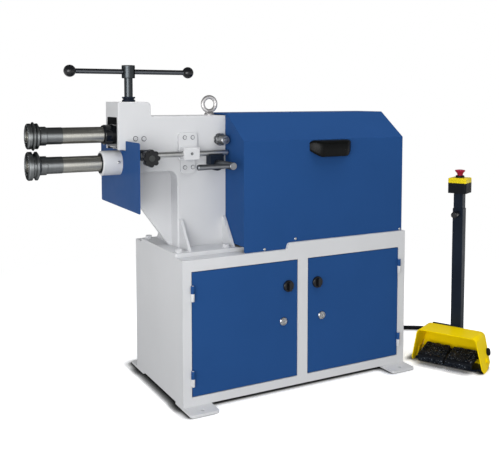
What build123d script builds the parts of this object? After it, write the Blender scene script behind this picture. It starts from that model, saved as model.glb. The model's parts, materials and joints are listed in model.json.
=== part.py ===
from build123d import *
import math
import os

# Electric bead roller on a cabinet, with a pedal stand on a cable. Millimetres, +Z up, floor at z = 0.
# X runs along the rolls with the dies at -X, the doors face -Y, and the origin is the middle of the
# anchor holes, on the floor.

# Cabinet
CAB_W = 1036.0
CAB_D = 498.0
CAB_TOP = 560.0
SHEET = 3.0
FOOT_T = 10.0
FOOT_W = 115.0
FOOT_OUT = 74.0
FOOT_UNDER = 75.0
FOOT_ROUND = 10.0
ANCHOR_HOLE = 14.0
ANCHOR_OUT = 46.0
SIDE_POST = 38.0
MIDDLE_POST = 52.0
TOP_RAIL = 46.0
BOTTOM_RAIL = 37.0

# Doors, hinges, latches and locks
DOOR_DEPTH = 20.0
DOOR_SKIN = 2.0
DOOR_GAP = 2.5
STOP_GAP = 4.0
STOP_T = 3.0
STOP_W = 12.0
HINGE_OD = 14.0
HINGE_PIN = 8.0
HINGE_LEN = 29.0
HINGE_HEIGHTS = (78.0, 398.0)
HINGE_STAND = 0.5
RUN_FIT = 0.05
LATCH_IN = 42.0
LATCH_UP = 405.0
LOCK_IN = 64.0
LOCK_UP = 266.0
LATCH_SHAFT = 10.0
LATCH_DISC = 46.0
LATCH_DISC_T = 9.0
LATCH_WING = 36.0
WING_W = 11.0
WING_T = 11.0
WING_ROUND = 4.5
LOCK_BODY = 19.0
LOCK_BEZEL = 32.0
LOCK_GROOVE = 2.5
KEYWAY = 2.4
CAM_T = 3.0
CAM_W = 14.0
CAM_OVER = 8.0
CAM_GAP = 1.0

# Hood and the riser that it stands on
HOOD_X0 = -258.0
HOOD_X1 = 508.0
HOOD_IN = 12.0
HOOD_FLAT = 91.0
HOOD_BEND = 428.0
HOOD_RISE = 533.0
HOOD_SHEET = 2.0
HOOD_GAP = 2.0
HOOD_LIFT = 24.0
HOOD_ROUND = 8.0
RISER_X0 = -70.0
RISER_H = 25.0
RISER_T = 22.0
RISER_ROUND = 16.0
RISER_HOLLOW = 8.0
LIP_H = 20.0
LIP_T = 3.0
SLIP = 0.3
GRIP_X0 = 36.0
GRIP_L = 199.0
GRIP_H = 66.0
GRIP_DOWN = 3.0
GRIP_CHAMFER = 22.0
GRIP_RIM = 8.0
GRIP_DEPTH = 30.0
GRIP_WALL = 3.0
GRIP_PROUD = 3.0

# Rolls
AXIS_RISE = 348.0
CENTRES = 107.0
SHAFT_D = 60.0
NOSE_D = 42.0
NOSE_IN = 1.0
TAIL_D = 50.0
BUSH_WALL = 4.0
DIE_X0 = -1012.0
DIE_W = 44.0
DIE_FACE_D = 62.0
DIE_FACE_DEEP = 10.0
UPPER_DIE_D = 93.0
RIDGE_D = 103.0
RIDGE_W = 12.0
RIDGE_TIP = 2.0
RIDGE_FOOT = 19.0
LOWER_DIE_D = 104.0
GROOVE_D = 88.0
GROOVE_W = 14.0
NUT_D = 54.0
NUT_W = 9.0
NUT_SLOT = 7.0
NUT_WEB = 2.0
COLLAR_D = 69.0
COLLAR_W = 24.0
SLEEVE_D = 62.0
SLEEVE_W = 56.0
GEAR_X0 = -240.0
GEAR_W = 34.0
GEAR_TEETH = 18
GEAR_SINK = 2.6
TOOTH_ADD = 4.5
TOOTH_DED = 7.0
TOOTH_BACKLASH = 1.9

# Casting
HEAD_X0 = -696.0
HEAD_L = 128.0
LEG_L = 29.0
ARM_X1 = -250.0
ARM_HALF = 76.0
CHEEK = 16.0
HEAD_OVER = 123.0
ARM_OVER = 69.0
SLOT_OVER = 66.0
CAVITY_OVER = 51.0
SLOT_UNDER = 55.0
ARM_UNDER = 35.0
COLUMN_X0 = -463.0
COLUMN_WALL = 16.0
COLUMN_CROWN = 24.0
WEB_T = 24.0
WEB_TOE = 10.0
WEB_RISE = 266.0
FLANGE_X0 = -519.0
FLANGE_X1 = -214.0
FLANGE_HALF = 184.0
FLANGE_T = 14.0
FLANGE_BOLT_D = 16.0
FLANGE_BOLT_IN = 25.0
FLANGE_WASHER_D = 30.0
FLANGE_WASHER_T = 3.0
FLANGE_HEX_D = 27.0
FLANGE_HEX_H = 10.0
RIB_T = 11.0
RIB_IN = 7.0
REAR_RIB_X1 = -260.0
RIB_H = 110.0
RIB_FOOT = 90.0
RIB_TIP = 8.0
CAST_ROUND = 5.0
HEAD_ROUND = 16.0
RECESS_ROUND = 35.0
SHIELD_T = 3.0
SHIELD_HALF = 226.0
SHIELD_DOWN = 169.0
SHIELD_UP = 85.0
HOUSING_D = 93.0
HOUSING_OUT = 76.0
HOUSING_IN = 60.0
REAR_BUSH_L = 56.0
EYE_X = -291.0
EYE_RING = 56.0
EYE_WIRE = 16.0
EYE_RISE = 44.0
EYE_SHANK = 20.0
EYE_COLLAR = 40.0
EYE_COLLAR_H = 5.0
EYE_NECK_D = 22.0

# Upper roll carrier and feed spindle
SWING_X = -284.0
SWING_DROP = 25.0
BLOCK_L = 84.0
BLOCK_UP = 39.0
BLOCK_DOWN = 49.0
NOSE_OUT = 36.0
NOSE_BOSS_D = 75.0
BLOCK_SLIP = 0.4
CARRIER_HALF_L = 36.0
CARRIER_UP = 46.0
CARRIER_DOWN = 49.0
PIVOT_TIP_D = 20.0
PIVOT_TIP_IN = 18.0
PIVOT_SCREW_D = 34.0
PIVOT_OUT = 60.0
PIVOT_NUT_D = 48.0
PIVOT_NUT_L = 22.0
SPINDLE_IN = 67.0
SPINDLE_D = 32.0
THREAD_FIT = 0.1
FOOT_DISC_D = 34.0
FOOT_DISC_H = 8.0
FOOT_CROWN_D = 17.0
FOOT_NECK_D = 20.0
FOOT_NECK_H = 12.0
FOOT_PLAY = 1.2
STIRRUP_LIP = 4.0
STIRRUP_WALL = 7.0
NUT_RING_D = 50.0
NUT_RING_H = 8.0
NUT_WAIST_H = 4.0
NUT_CAP_H = 7.0
NUT_BODY_D = 46.0
HUB_D = 50.0
HUB_H = 49.0
HUB_RISE = 89.0
BAR_D = 19.0
BAR_SPAN = 469.0
BAR_SHIFT = 11.0
BALL_D = 45.0

# Drive under the hood
COUPLING_X0 = -185.0
COUPLING_L = 92.0
COUPLING_D = 88.0
REDUCER_X0 = -70.0
REDUCER_L = 182.0
REDUCER_HALF = 91.0
REDUCER_DOWN = 110.0
REDUCER_UP = 88.0
REDUCER_ROUND = 54.0
MOTOR_L = 268.0
MOTOR_D = 172.0
MOTOR_BODY_D = 155.0
COWL_TIP_D = 138.0
COWL_L = 74.0
COWL_TAPER = 15.0
MOTOR_FLANGE_T = 15.0
TERMINAL_IN = 60.0
TERMINAL_L = 104.0
TERMINAL_W = 80.0
TERMINAL_UP = 112.0
STAND_PLATE = 12.0
STAND_WALL = 8.0
STAND_OVERHANG = 22.0

# Gauge on the front of the casting
BRACKET_X0 = -461.0
BRACKET_L = 77.0
BRACKET_T = 12.0
BRACKET_STEP = 9.0
BRACKET_UP = 79.0
BRACKET_DOWN = 78.0
BRACKET_ROUND = 14.0
GAUGE_RISE = 380.0
GAUGE_OUT = 36.0
GUIDE_X0 = -456.0
GUIDE_L = 64.0
GUIDE_H = 46.0
GUIDE_OUT = 56.0
ROD_D = 20.0
ROD_X0 = -620.0
ROD_L = 354.0
END_BLOCK = 40.0
KNOB_D = 66.0
KNOB_CORE_D = 52.0
KNOB_T = 24.0
KNOB_LOBES = 8
KNOB_STUD = 10.0
KNOB_STEM = 12.0
KNOB_STEM_D = 24.0
KNOB_DROP = 8.0
CLAMP_W = 56.0
CLAMP_DEEP = 44.0
CLAMP_TOP = 6.0
CROSS_X = -319.0
CROSS_DROP = 40.0
CROSS_D = 28.0
CROSS_L = 181.0
FINGER_L = 141.0
FINGER_D = 22.0
FINGER_ROOT_D = 15.0
FINGER_BACK = 14.0

# Pedal stand, drawn in its own axes: u to its right, v to its back, turned and set on the floor
PEDAL_X = 671.8
PEDAL_Y = -360.0
PEDAL_TURN = -63.0
BASE_T = 6.0
BASE_FRONT = -28.0
BASE_BACK = 160.0
BASE_TAIL = 84.0
GUARD_FOOT = 320.0
GUARD_TOP = 256.0
GUARD_H = 148.0
GUARD_T = 4.0
GUARD_FRONT = -34.0
GUARD_BACK = 87.0
GUARD_BEND = 22.0
GUARD_LEG = 44.0
GUARD_TOE = 16.0
GUARD_SKIRT = 72.0
TAB_H = 56.0
TAB_V = 30.0
TAB_L = 34.0
GUARD_BOLT_D = 12.0
GUARD_BOLT_HEAD = 20.0
GUARD_BOLT_Z = 39.0
TREAD_W = 116.0
TREAD_GAP = 5.0
TREAD_FRONT = -52.0
TREAD_LIP = 24.0
TREAD_LOW = 44.0
TREAD_HIGH = 60.0
TREAD_T = 8.0
TREAD_ROUND = 6.0
PIN_D = 10.0
PIN_V = 68.0
PIN_Z = 42.0
BARREL_D = 22.0
LUG_T = 6.0
LUG_GAP = 1.0
POST_U = -3.0
POST_V = 117.5
POST_OUTER = 45.0
POST_WALL = 2.2
POST_TOP = 671.0
INNER_TOP = 739.0
INNER_L = 330.0
INNER_WALL = 2.0
POST_SLIP = 0.3
POST_BRACKET_L = 76.0
POST_BRACKET_H = 46.0
CLAMP_KNOB_Z = 648.0
CLAMP_KNOB_D = 27.0
CLAMP_KNOB_L = 40.0
CLAMP_BOSS_L = 8.0
CLAMP_STUD = 10.0
BOX_W = 80.0
BOX_H = 45.0
LID_H = 21.0
BOX_ROUND = 6.0
LID_ROUND = 4.8
STOP_COLLAR_D = 38.0
STOP_COLLAR_H = 10.0
STOP_STEM_D = 24.0
STOP_TRAVEL = 5.0
MUSHROOM_D = 44.0
MUSHROOM_H = 20.0
MUSHROOM_NECK_D = 27.6
MUSHROOM_CROWN_D = 22.0

# Cable between the cabinet's side wall and the back of the pedal
CABLE_D = 16.0
CABLE_LEAD = 33.0
PEDAL_LEAD = 46.0
CABLE_TURNS = 3
CABLE_STEP = 16.7
COIL_MEAN = 88.0
COIL_X = 660.0
COIL_Y = 107.0
COIL_TURN = 75.0
COIL_SAMPLES = 160
ARC_SHARE = 0.45
GLAND_D = 26.0
GLAND_TIP_D = 19.2
GLAND_L = 42.0
GLAND_NUT_D = 30.0
GLAND_NUT_L = 10.0
SIDE_GLAND_Y = 222.0
SIDE_GLAND_Z = 26.0
MAINS_IN = 98.0
MAINS_Z = 80.0
PEDAL_GLAND_U = 60.0
PEDAL_GLAND_Z = 22.0
GLAND_BOSS_W = 40.0
CONTROL_W = 300.0
CONTROL_H = 320.0
CONTROL_D = 120.0
CONTROL_IN = 38.0
CONTROL_Z = 300.0

LOWER_Z = CAB_TOP + AXIS_RISE
UPPER_Z = LOWER_Z + CENTRES
SWING_Z = UPPER_Z - SWING_DROP
SLOT_Z = UPPER_Z - SLOT_UNDER
SLOT_TOP = UPPER_Z + SLOT_OVER
CAVITY_TOP = UPPER_Z + CAVITY_OVER
ARM_TOP = UPPER_Z + ARM_OVER
HEAD_TOP = UPPER_Z + HEAD_OVER
ARM_BOTTOM = LOWER_Z - ARM_UNDER
CAVITY_HALF = ARM_HALF - CHEEK
WALL_X = HEAD_X0 + LEG_L
SPINDLE_X = HEAD_X0 + SPINDLE_IN
DIE_X1 = DIE_X0 + DIE_W
SHOULDER_X = DIE_X1 + COLLAR_W + SLEEVE_W
BUSH_D = SHAFT_D + 2 * BUSH_WALL
BORE_D = SHAFT_D + 2 * RUN_FIT
FRONT_Y = -CAB_D / 2
HOOD_HALF = CAB_D / 2 - HOOD_IN
MAINS_X = CAB_W / 2 - MAINS_IN
DOOR_X0 = MIDDLE_POST / 2
DOOR_X1 = CAB_W / 2 - SIDE_POST
DOOR_Z0 = FOOT_T + BOTTOM_RAIL
DOOR_Z1 = CAB_TOP - TOP_RAIL
STOP_Y = FRONT_Y + DOOR_DEPTH + STOP_GAP
CAM_Y = STOP_Y + STOP_T + CAM_GAP
HINGE_X = DOOR_X1 + DOOR_GAP / 2
HINGE_Y = FRONT_Y - HINGE_OD / 2 - HINGE_STAND
HOOD_TOP = CAB_TOP + HOOD_RISE
BEND_Z = CAB_TOP + HOOD_BEND
RISER_TOP = CAB_TOP + RISER_H
BLOCK_TOP = UPPER_Z + BLOCK_UP
SPINDLE_FOOT_Z = BLOCK_TOP + FOOT_PLAY / 3
SPINDLE_Z = SPINDLE_FOOT_Z + FOOT_DISC_H + FOOT_NECK_H
HUB_Z = HEAD_TOP + HUB_RISE
GAUGE_Z = CAB_TOP + GAUGE_RISE
GAUGE_Y = -ARM_HALF - GAUGE_OUT
CROSS_Z = GAUGE_Z - CROSS_DROP
KNOB_Z = GAUGE_Z - KNOB_DROP
STAND_TOP = LOWER_Z - REDUCER_DOWN
PEDAL = Pos(PEDAL_X, PEDAL_Y, 0) * Rot(0, 0, PEDAL_TURN)
PEDAL_BACK = Vector(-math.sin(math.radians(PEDAL_TURN)), math.cos(math.radians(PEDAL_TURN)), 0)
PEDAL_EXIT = PEDAL * Pos(PEDAL_GLAND_U, BASE_BACK - CAST_ROUND, PEDAL_GLAND_Z)
POST_FRONT = POST_V - POST_OUTER / 2
LID_Z = INNER_TOP + BOX_H
LID_TOP = LID_Z + LID_H
BUTTON_Z = LID_TOP + STOP_COLLAR_H + STOP_TRAVEL


def block(x0, x1, y0, y1, z0, z1):
    """A box between two corners."""
    centre = Pos((x0 + x1) / 2, (y0 + y1) / 2, (z0 + z1) / 2)
    return centre * Box(x1 - x0, y1 - y0, z1 - z0)


def rod_x(x0, x1, y, z, d):
    return Pos((x0 + x1) / 2, y, z) * Rot(0, 90, 0) * Cylinder(d / 2, x1 - x0)


def rod_y(x, y0, y1, z, d):
    return Pos(x, (y0 + y1) / 2, z) * Rot(90, 0, 0) * Cylinder(d / 2, y1 - y0)


def rod_z(x, y, z0, z1, d):
    return Pos(x, y, (z0 + z1) / 2) * Cylinder(d / 2, z1 - z0)


def side_plate(points, y0, y1):
    """A plate with an outline in X and Z, between two Y planes."""
    face = make_face(Polyline([(x, y0, z) for x, z in points], close=True))
    return extrude(face, amount=y1 - y0, dir=(0, 1, 0))


def end_plate(points, x0, x1):
    """A plate with an outline in Y and Z, between two X planes."""
    face = make_face(Polyline([(x0, y, z) for y, z in points], close=True))
    return extrude(face, amount=x1 - x0, dir=(1, 0, 0))


def turned_x(points, z):
    """A turned piece about the X line at height z, from points of x and radius."""
    face = make_face(Polyline([(x, 0, z + r) for x, r in points], close=True))
    return revolve(face, Axis((0, 0, z), (1, 0, 0)))


def turned_z(points, x, y):
    """A turned piece about an upright line, from points of radius and height."""
    face = make_face(Polyline([(x + r, y, z) for r, z in points], close=True))
    return revolve(face, Axis((x, y, 0), (0, 0, 1)))


def both_sides(piece):
    return piece + mirror(piece, Plane.XZ)


def cabinet_shell():
    """Sheet shell, open in front, with the riser for the hood on its top."""
    outer = block(-CAB_W / 2, CAB_W / 2, FRONT_Y, CAB_D / 2, FOOT_T, CAB_TOP)
    inner_half = CAB_W / 2 - SHEET
    room = block(-inner_half, inner_half, FRONT_Y, CAB_D / 2 - SHEET, FOOT_T + SHEET, CAB_TOP - SHEET)
    side_hole = rod_x(inner_half, CAB_W / 2, SIDE_GLAND_Y, SIDE_GLAND_Z, CABLE_D)
    back_hole = rod_y(MAINS_X, CAB_D / 2 - SHEET, CAB_D / 2, MAINS_Z, CABLE_D)
    return outer - room - side_hole - back_hole + riser()


def front_frame():
    """Welded frame with a stop round each door, a partition and the fixed halves of the hinges."""
    half = CAB_W / 2 - SHEET
    stop_back = STOP_Y + STOP_T
    frame = block(-half, half, FRONT_Y, stop_back, FOOT_T + SHEET, CAB_TOP - SHEET)
    gap = DOOR_GAP
    rebate = block(DOOR_X0 - gap, DOOR_X1 + gap, FRONT_Y, STOP_Y, DOOR_Z0 - gap, DOOR_Z1 + gap)
    way = block(
        DOOR_X0 + STOP_W, DOOR_X1 - STOP_W, STOP_Y, stop_back, DOOR_Z0 + STOP_W, DOOR_Z1 - STOP_W
    )
    for cut in (rebate, way):
        frame -= cut + mirror(cut, Plane.YZ)
    halves = Part() + [fixed_hinge(height) for height in HINGE_HEIGHTS]
    partition = block(
        -SHEET / 2, SHEET / 2, stop_back, CAB_D / 2 - SHEET, FOOT_T + SHEET, CAB_TOP - SHEET
    )
    return frame + partition + halves + mirror(halves, Plane.YZ)


def hinge_barrel(z0, side):
    """One welded barrel half of the right door's hinge: side 1 on the frame, side -1 on the door."""
    barrel = rod_z(HINGE_X, HINGE_Y, z0, z0 + HINGE_LEN, HINGE_OD)
    reach = HINGE_X + side * HINGE_OD / 2
    near = HINGE_X + side * DOOR_GAP
    return barrel + block(min(near, reach), max(near, reach), HINGE_Y, FRONT_Y, z0, z0 + HINGE_LEN)


def fixed_hinge(height):
    """Lower half on the frame, with the pin that stands in it."""
    z0 = FOOT_T + height
    return hinge_barrel(z0, 1) + rod_z(HINGE_X, HINGE_Y, z0, z0 + 2 * HINGE_LEN, HINGE_PIN)


def door_hinge(height):
    """Upper half on the door, bored to turn on the pin."""
    z0 = FOOT_T + height + HINGE_LEN
    return hinge_barrel(z0, -1) - rod_z(HINGE_X, HINGE_Y, z0, z0 + HINGE_LEN, HINGE_PIN + 2 * RUN_FIT)


def foot_plates():
    x1 = CAB_W / 2
    y1 = CAB_D / 2
    plate = block(x1 - FOOT_W, x1, y1 - FOOT_UNDER, y1 + FOOT_OUT, 0, FOOT_T)
    corners = plate.edges().filter_by(Axis.Z).group_by(Axis.Y)[-1]
    plate = fillet(corners, FOOT_ROUND)
    plate -= rod_z(x1 - FOOT_W / 2, y1 + ANCHOR_OUT, 0, FOOT_T, ANCHOR_HOLE)
    pair = plate + mirror(plate, Plane.YZ)
    return both_sides(pair)


def right_door():
    """Folded tray with an open back, holes for the latch and the lock, and its hinge halves."""
    skin = DOOR_SKIN
    back = FRONT_Y + DOOR_DEPTH
    tray = block(DOOR_X0, DOOR_X1, FRONT_Y, back, DOOR_Z0, DOOR_Z1)
    tray -= block(
        DOOR_X0 + skin, DOOR_X1 - skin, FRONT_Y + skin, back, DOOR_Z0 + skin, DOOR_Z1 - skin
    )
    for inset, height, d in ((LATCH_IN, LATCH_UP, LATCH_SHAFT), (LOCK_IN, LOCK_UP, LOCK_BODY)):
        tray -= rod_y(DOOR_X0 + inset, FRONT_Y, FRONT_Y + skin, FOOT_T + height, d + 2 * RUN_FIT)
    return tray + [door_hinge(height) for height in HINGE_HEIGHTS]


def cam(x, z, reach, shaft_d):
    """Tongue behind the door, upright where it is free, with its shaft out to the door's face."""
    tongue = block(x - CAM_W / 2, x + CAM_W / 2, CAM_Y, CAM_Y + CAM_T, z - CAM_W / 2, z + reach)
    return tongue + rod_y(x, FRONT_Y, CAM_Y, z, shaft_d)


def right_latch():
    """Round knob with a wing, shaft and tongue."""
    x = DOOR_X0 + LATCH_IN
    z = FOOT_T + LATCH_UP
    disc_y = FRONT_Y - SLIP - LATCH_DISC_T
    disc = rod_y(x, disc_y, FRONT_Y - SLIP, z, LATCH_DISC)
    disc = fillet(disc.edges().group_by(Axis.Y)[0], LATCH_DISC_T / 2)
    neck = rod_y(x, FRONT_Y - SLIP, FRONT_Y, z, LATCH_SHAFT)
    wing = block(
        x - WING_W / 2, x + WING_W / 2, disc_y - WING_T, disc_y, z - LATCH_WING / 2, z + LATCH_WING / 2
    )
    wing = fillet(wing.edges().filter_by(Axis.Y), WING_ROUND)
    return disc + neck + wing + cam(x, z, LATCH_IN + CAM_OVER, LATCH_SHAFT)


def right_lock():
    """Key cylinder in a ringed bezel, with its keyway and tongue."""
    x = DOOR_X0 + LOCK_IN
    z = FOOT_T + LOCK_UP
    bezel_t = LOCK_BEZEL / 6
    face = FRONT_Y - SLIP
    bezel = rod_y(x, face - bezel_t, face, z, LOCK_BEZEL)
    bezel = chamfer(bezel.edges().group_by(Axis.Y)[0], bezel_t / 3)
    groove = rod_y(x, face - bezel_t, face - bezel_t / 2, z, LOCK_BODY + 2 * LOCK_GROOVE)
    bezel -= groove - rod_y(x, face - bezel_t, face, z, LOCK_BODY)
    neck = rod_y(x, face, FRONT_Y, z, LOCK_BODY)
    half = KEYWAY / 2
    key = block(x - half, x + half, face - bezel_t, face - bezel_t / 3, z - LOCK_BODY / 4, z + LOCK_BODY / 4)
    return bezel + neck - key + cam(x, z, LOCK_IN + CAM_OVER, LOCK_BODY)


def control_box():
    x1 = CAB_W / 2 - CONTROL_IN
    y1 = CAB_D / 2 - SHEET
    z1 = CONTROL_Z + CONTROL_H / 2
    box = block(x1 - CONTROL_W, x1, y1 - CONTROL_D, y1, z1 - CONTROL_H, z1)
    return fillet(box.edges().filter_by(Axis.Y), CONTROL_D / 12)


def gland():
    """Gland along +Z from z = 0: a hexagon nut and a tapered sleeve that the cable comes out of."""
    nut = extrude(RegularPolygon(GLAND_NUT_D / 2, 6), GLAND_NUT_L)
    sleeve = turned_z(
        [(0, GLAND_NUT_L), (GLAND_D / 2, GLAND_NUT_L), (GLAND_TIP_D / 2, GLAND_L), (0, GLAND_L)], 0, 0
    )
    return nut + sleeve


def cable_glands():
    """The pedal cable's two glands and the one for the mains lead on the cabinet's back."""
    side = Pos(CAB_W / 2, SIDE_GLAND_Y, SIDE_GLAND_Z) * Rot(0, 90, 0) * gland()
    back = Pos(MAINS_X, CAB_D / 2, MAINS_Z) * Rot(-90, 0, 0) * gland()
    pedal = PEDAL_EXIT * Rot(-90, 0, 0) * gland()
    bore = rod_y(MAINS_X, CAB_D / 2 + GLAND_NUT_L, CAB_D / 2 + GLAND_L, MAINS_Z, CABLE_D)
    return Part() + [side, back - bore, pedal]


def riser_rail(y0, y1):
    """Rail on the cabinet's top with an S-shaped start."""
    rail = block(RISER_X0, CAB_W / 2, y0, y1, CAB_TOP, RISER_TOP)
    start = rail.edges().filter_by(Axis.Y).group_by(Axis.X)[0].sort_by(Axis.Z)[-1]
    rail = fillet(start, RISER_ROUND)
    x0 = RISER_X0 - RISER_HOLLOW
    z1 = CAB_TOP + RISER_HOLLOW
    toe = block(x0, RISER_X0, y0, y1, CAB_TOP, z1) - rod_y(x0, y0, y1, z1, 2 * RISER_HOLLOW)
    return rail + toe


def riser():
    """Rail round three sides of the cabinet's top, with a lip inside the hood."""
    half = CAB_D / 2
    x1 = CAB_W / 2
    front = riser_rail(-half, -half + RISER_T)
    end = block(x1 - RISER_T, x1, -half, half, CAB_TOP, RISER_TOP)
    lip_y = -HOOD_HALF + HOOD_SHEET + SLIP
    lip = block(
        RISER_X0 + RISER_ROUND, x1 - RISER_T, lip_y, lip_y + LIP_T, CAB_TOP, RISER_TOP + LIP_H
    )
    return both_sides(front + lip) + end


def hood_profile(inset, bottom):
    """Points of the hood's cross-section in Y and Z, moved in by the sheet."""
    lean = math.atan2(HOOD_TOP - BEND_Z, HOOD_HALF - HOOD_FLAT)
    bend = BEND_Z - inset * math.tan(lean / 2)
    flat = HOOD_FLAT - inset * math.tan(lean / 2)
    half = HOOD_HALF - inset
    top = HOOD_TOP - inset
    right = [(half, bottom), (half, bend), (flat, top)]
    return [(-y, z) for y, z in right] + right[::-1]


def hood():
    """Folded cover with end walls, open below, cut out round the casting and for the grip."""
    sheet = HOOD_SHEET
    cover = end_plate(hood_profile(0, CAB_TOP), HOOD_X0, HOOD_X1)
    cover -= end_plate(hood_profile(sheet, CAB_TOP), HOOD_X0 + sheet, HOOD_X1 - sheet)
    cover -= riser_rail(-HOOD_HALF, HOOD_HALF)
    wall_x = HOOD_X0 + sheet
    half = HOOD_HALF - sheet
    cover -= block(HOOD_X0, wall_x, -half, half, CAB_TOP, CAB_TOP + HOOD_LIFT)
    half = ARM_HALF + HOOD_GAP
    cover -= block(HOOD_X0, wall_x, -half, half, CAB_TOP, ARM_TOP + HOOD_GAP)
    r = HOOD_ROUND
    waste = block(HOOD_X0, HOOD_X0 + r, -HOOD_HALF, HOOD_HALF, CAB_TOP, CAB_TOP + r)
    cover -= waste - rod_y(HOOD_X0 + r, -HOOD_HALF, HOOD_HALF, CAB_TOP + r, 2 * r)
    cup = SLIP + GRIP_RIM
    grip_top = BEND_Z - GRIP_DOWN
    cover -= block(
        GRIP_X0 + GRIP_RIM - SLIP, GRIP_X0 + GRIP_L - cup + 2 * SLIP, -HOOD_HALF, -HOOD_HALF + sheet,
        grip_top - GRIP_H + GRIP_RIM - SLIP, grip_top - cup + 2 * SLIP,
    )
    return cover


def hood_grip():
    """Moulded recessed grip: a rim on the hood and a cup behind it."""
    x0 = GRIP_X0
    x1 = GRIP_X0 + GRIP_L
    z1 = BEND_Z - GRIP_DOWN
    z0 = z1 - GRIP_H
    outline = [(x0, z0 + GRIP_CHAMFER), (x0, z1), (x1, z1), (x1, z0), (x0 + GRIP_CHAMFER, z0)]
    rim = side_plate(outline, -HOOD_HALF - GRIP_PROUD, -HOOD_HALF)
    rim = chamfer(rim.faces().sort_by(Axis.Y)[0].edges(), GRIP_PROUD / 2)
    inset = GRIP_RIM
    cup_back = -HOOD_HALF + GRIP_DEPTH
    cup = block(x0 + inset, x1 - inset, -HOOD_HALF, cup_back, z0 + inset, z1 - inset)
    inset += GRIP_WALL
    hollow = block(
        x0 + inset, x1 - inset, -HOOD_HALF - GRIP_PROUD, cup_back - GRIP_WALL, z0 + inset, z1 - inset
    )
    hollow = fillet(hollow.edges().filter_by(Axis.Y), GRIP_RIM)
    return rim + cup - hollow


def casting():
    """Frame casting: head, hollow arm over a hollow column, web, flange and ribs."""
    floor = CAB_TOP + FLANGE_T
    outline = [
        (HEAD_X0, SLOT_Z), (HEAD_X0, HEAD_TOP), (HEAD_X0 + HEAD_L, HEAD_TOP), (HEAD_X0 + HEAD_L, ARM_TOP),
        (ARM_X1, ARM_TOP), (ARM_X1, floor), (COLUMN_X0, floor), (COLUMN_X0, ARM_BOTTOM),
        (WALL_X, ARM_BOTTOM), (WALL_X, SLOT_Z),
    ]
    face = make_face(Polyline([(x, -ARM_HALF, z) for x, z in outline], close=True)).face()
    rounds = ((outline[7], RECESS_ROUND), (outline[2], HEAD_ROUND), (outline[3], HEAD_ROUND / 2))
    for (x, z), radius in rounds:
        corner = face.vertices().sort_by_distance((x, -ARM_HALF, z))[0]
        face = face.fillet_2d(radius, [corner])
    body = extrude(face, amount=2 * ARM_HALF, dir=(0, 1, 0))
    rims = body.faces().filter_by(Axis.Y).edges()
    body = fillet(rims.filter_by(lambda edge: edge.center().Z > floor + CAST_ROUND), CAST_ROUND)
    toe = COLUMN_X0 - WEB_TOE
    web_top = floor + WEB_RISE
    body += side_plate(
        [(WALL_X, ARM_BOTTOM), (WALL_X, web_top), (toe, floor), (COLUMN_X0, floor), (COLUMN_X0, ARM_BOTTOM)],
        -WEB_T / 2, WEB_T / 2,
    )
    body += flange()
    for x0 in (COLUMN_X0 + RIB_IN, REAR_RIB_X1 - RIB_T):
        body += both_sides(rib(x0, floor))
    half = CAVITY_HALF
    body -= block(HEAD_X0, ARM_X1, -half, half, SLOT_Z, CAVITY_TOP)
    body -= block(HEAD_X0, HEAD_X0 + HEAD_L - CHEEK, -half, half, SLOT_Z, SLOT_TOP)
    body -= block(
        COLUMN_X0 + COLUMN_WALL, ARM_X1 - COLUMN_WALL, -half, half, CAB_TOP, ARM_BOTTOM - COLUMN_CROWN
    )
    body -= rod_x(WALL_X, ARM_X1, 0, LOWER_Z, BUSH_D - BUSH_WALL)
    body -= rod_x(WALL_X, WALL_X + HOUSING_IN, 0, LOWER_Z, HOUSING_D)
    body -= rod_x(ARM_X1 - REAR_BUSH_L, ARM_X1, 0, LOWER_Z, BUSH_D)
    body -= rod_z(SPINDLE_X, 0, SLOT_TOP, HEAD_TOP, NUT_BODY_D)
    body -= rod_z(EYE_X, 0, CAVITY_TOP, ARM_TOP, EYE_SHANK)
    return body - rod_y(SWING_X, -ARM_HALF, ARM_HALF, SWING_Z, PIVOT_SCREW_D)


def flange():
    plate = block(FLANGE_X0, FLANGE_X1, -FLANGE_HALF, FLANGE_HALF, CAB_TOP, CAB_TOP + FLANGE_T)
    plate = fillet(plate.edges().filter_by(Axis.Z), CAST_ROUND * 2)
    for x, y in flange_bolt_places():
        plate -= rod_z(x, y, CAB_TOP, CAB_TOP + FLANGE_T, FLANGE_BOLT_D)
    return plate


def flange_bolt_places():
    y = FLANGE_HALF - FLANGE_BOLT_IN
    xs = (FLANGE_X0 + FLANGE_BOLT_IN, REAR_RIB_X1 - RIB_T - FLANGE_BOLT_IN)
    return [(x, side * y) for x in xs for side in (-1, 1)]


def rib(x0, floor):
    """Front gusset between the column and the flange."""
    y = -ARM_HALF + CAST_ROUND
    foot = y - RIB_FOOT - CAST_ROUND
    points = [(y, floor), (y, floor + RIB_H), (y - CAST_ROUND - RIB_TIP, floor + RIB_H), (foot, floor)]
    return end_plate(points, x0, x0 + RIB_T)


def flange_bolts():
    """Hexagon bolts with washers, each down to the cabinet's top."""
    d = FLANGE_BOLT_D
    washer_z = CAB_TOP + FLANGE_T
    head_z = washer_z + FLANGE_WASHER_T
    bolts = Part()
    for x, y in flange_bolt_places():
        bolts += rod_z(x, y, CAB_TOP, washer_z, d)
        bolts += rod_z(x, y, washer_z, head_z, FLANGE_WASHER_D)
        bolts += Pos(x, y, head_z) * extrude(RegularPolygon(FLANGE_HEX_D / 2, 6), FLANGE_HEX_H)
    return bolts


def throat_shield():
    z0 = LOWER_Z - SHIELD_DOWN
    z1 = LOWER_Z + SHIELD_UP
    plate = block(WALL_X - SHIELD_T, WALL_X, -SHIELD_HALF, SHIELD_HALF, z0, z1)
    plate = fillet(plate.edges().filter_by(Axis.X), HEAD_ROUND / 2)
    notch = ARM_HALF + SHIELD_T
    plate -= block(WALL_X - SHIELD_T, WALL_X, -notch, notch, SLOT_Z - SHIELD_T, z1)
    return plate - rod_x(WALL_X - SHIELD_T, WALL_X, 0, LOWER_Z, HOUSING_D)


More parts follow.
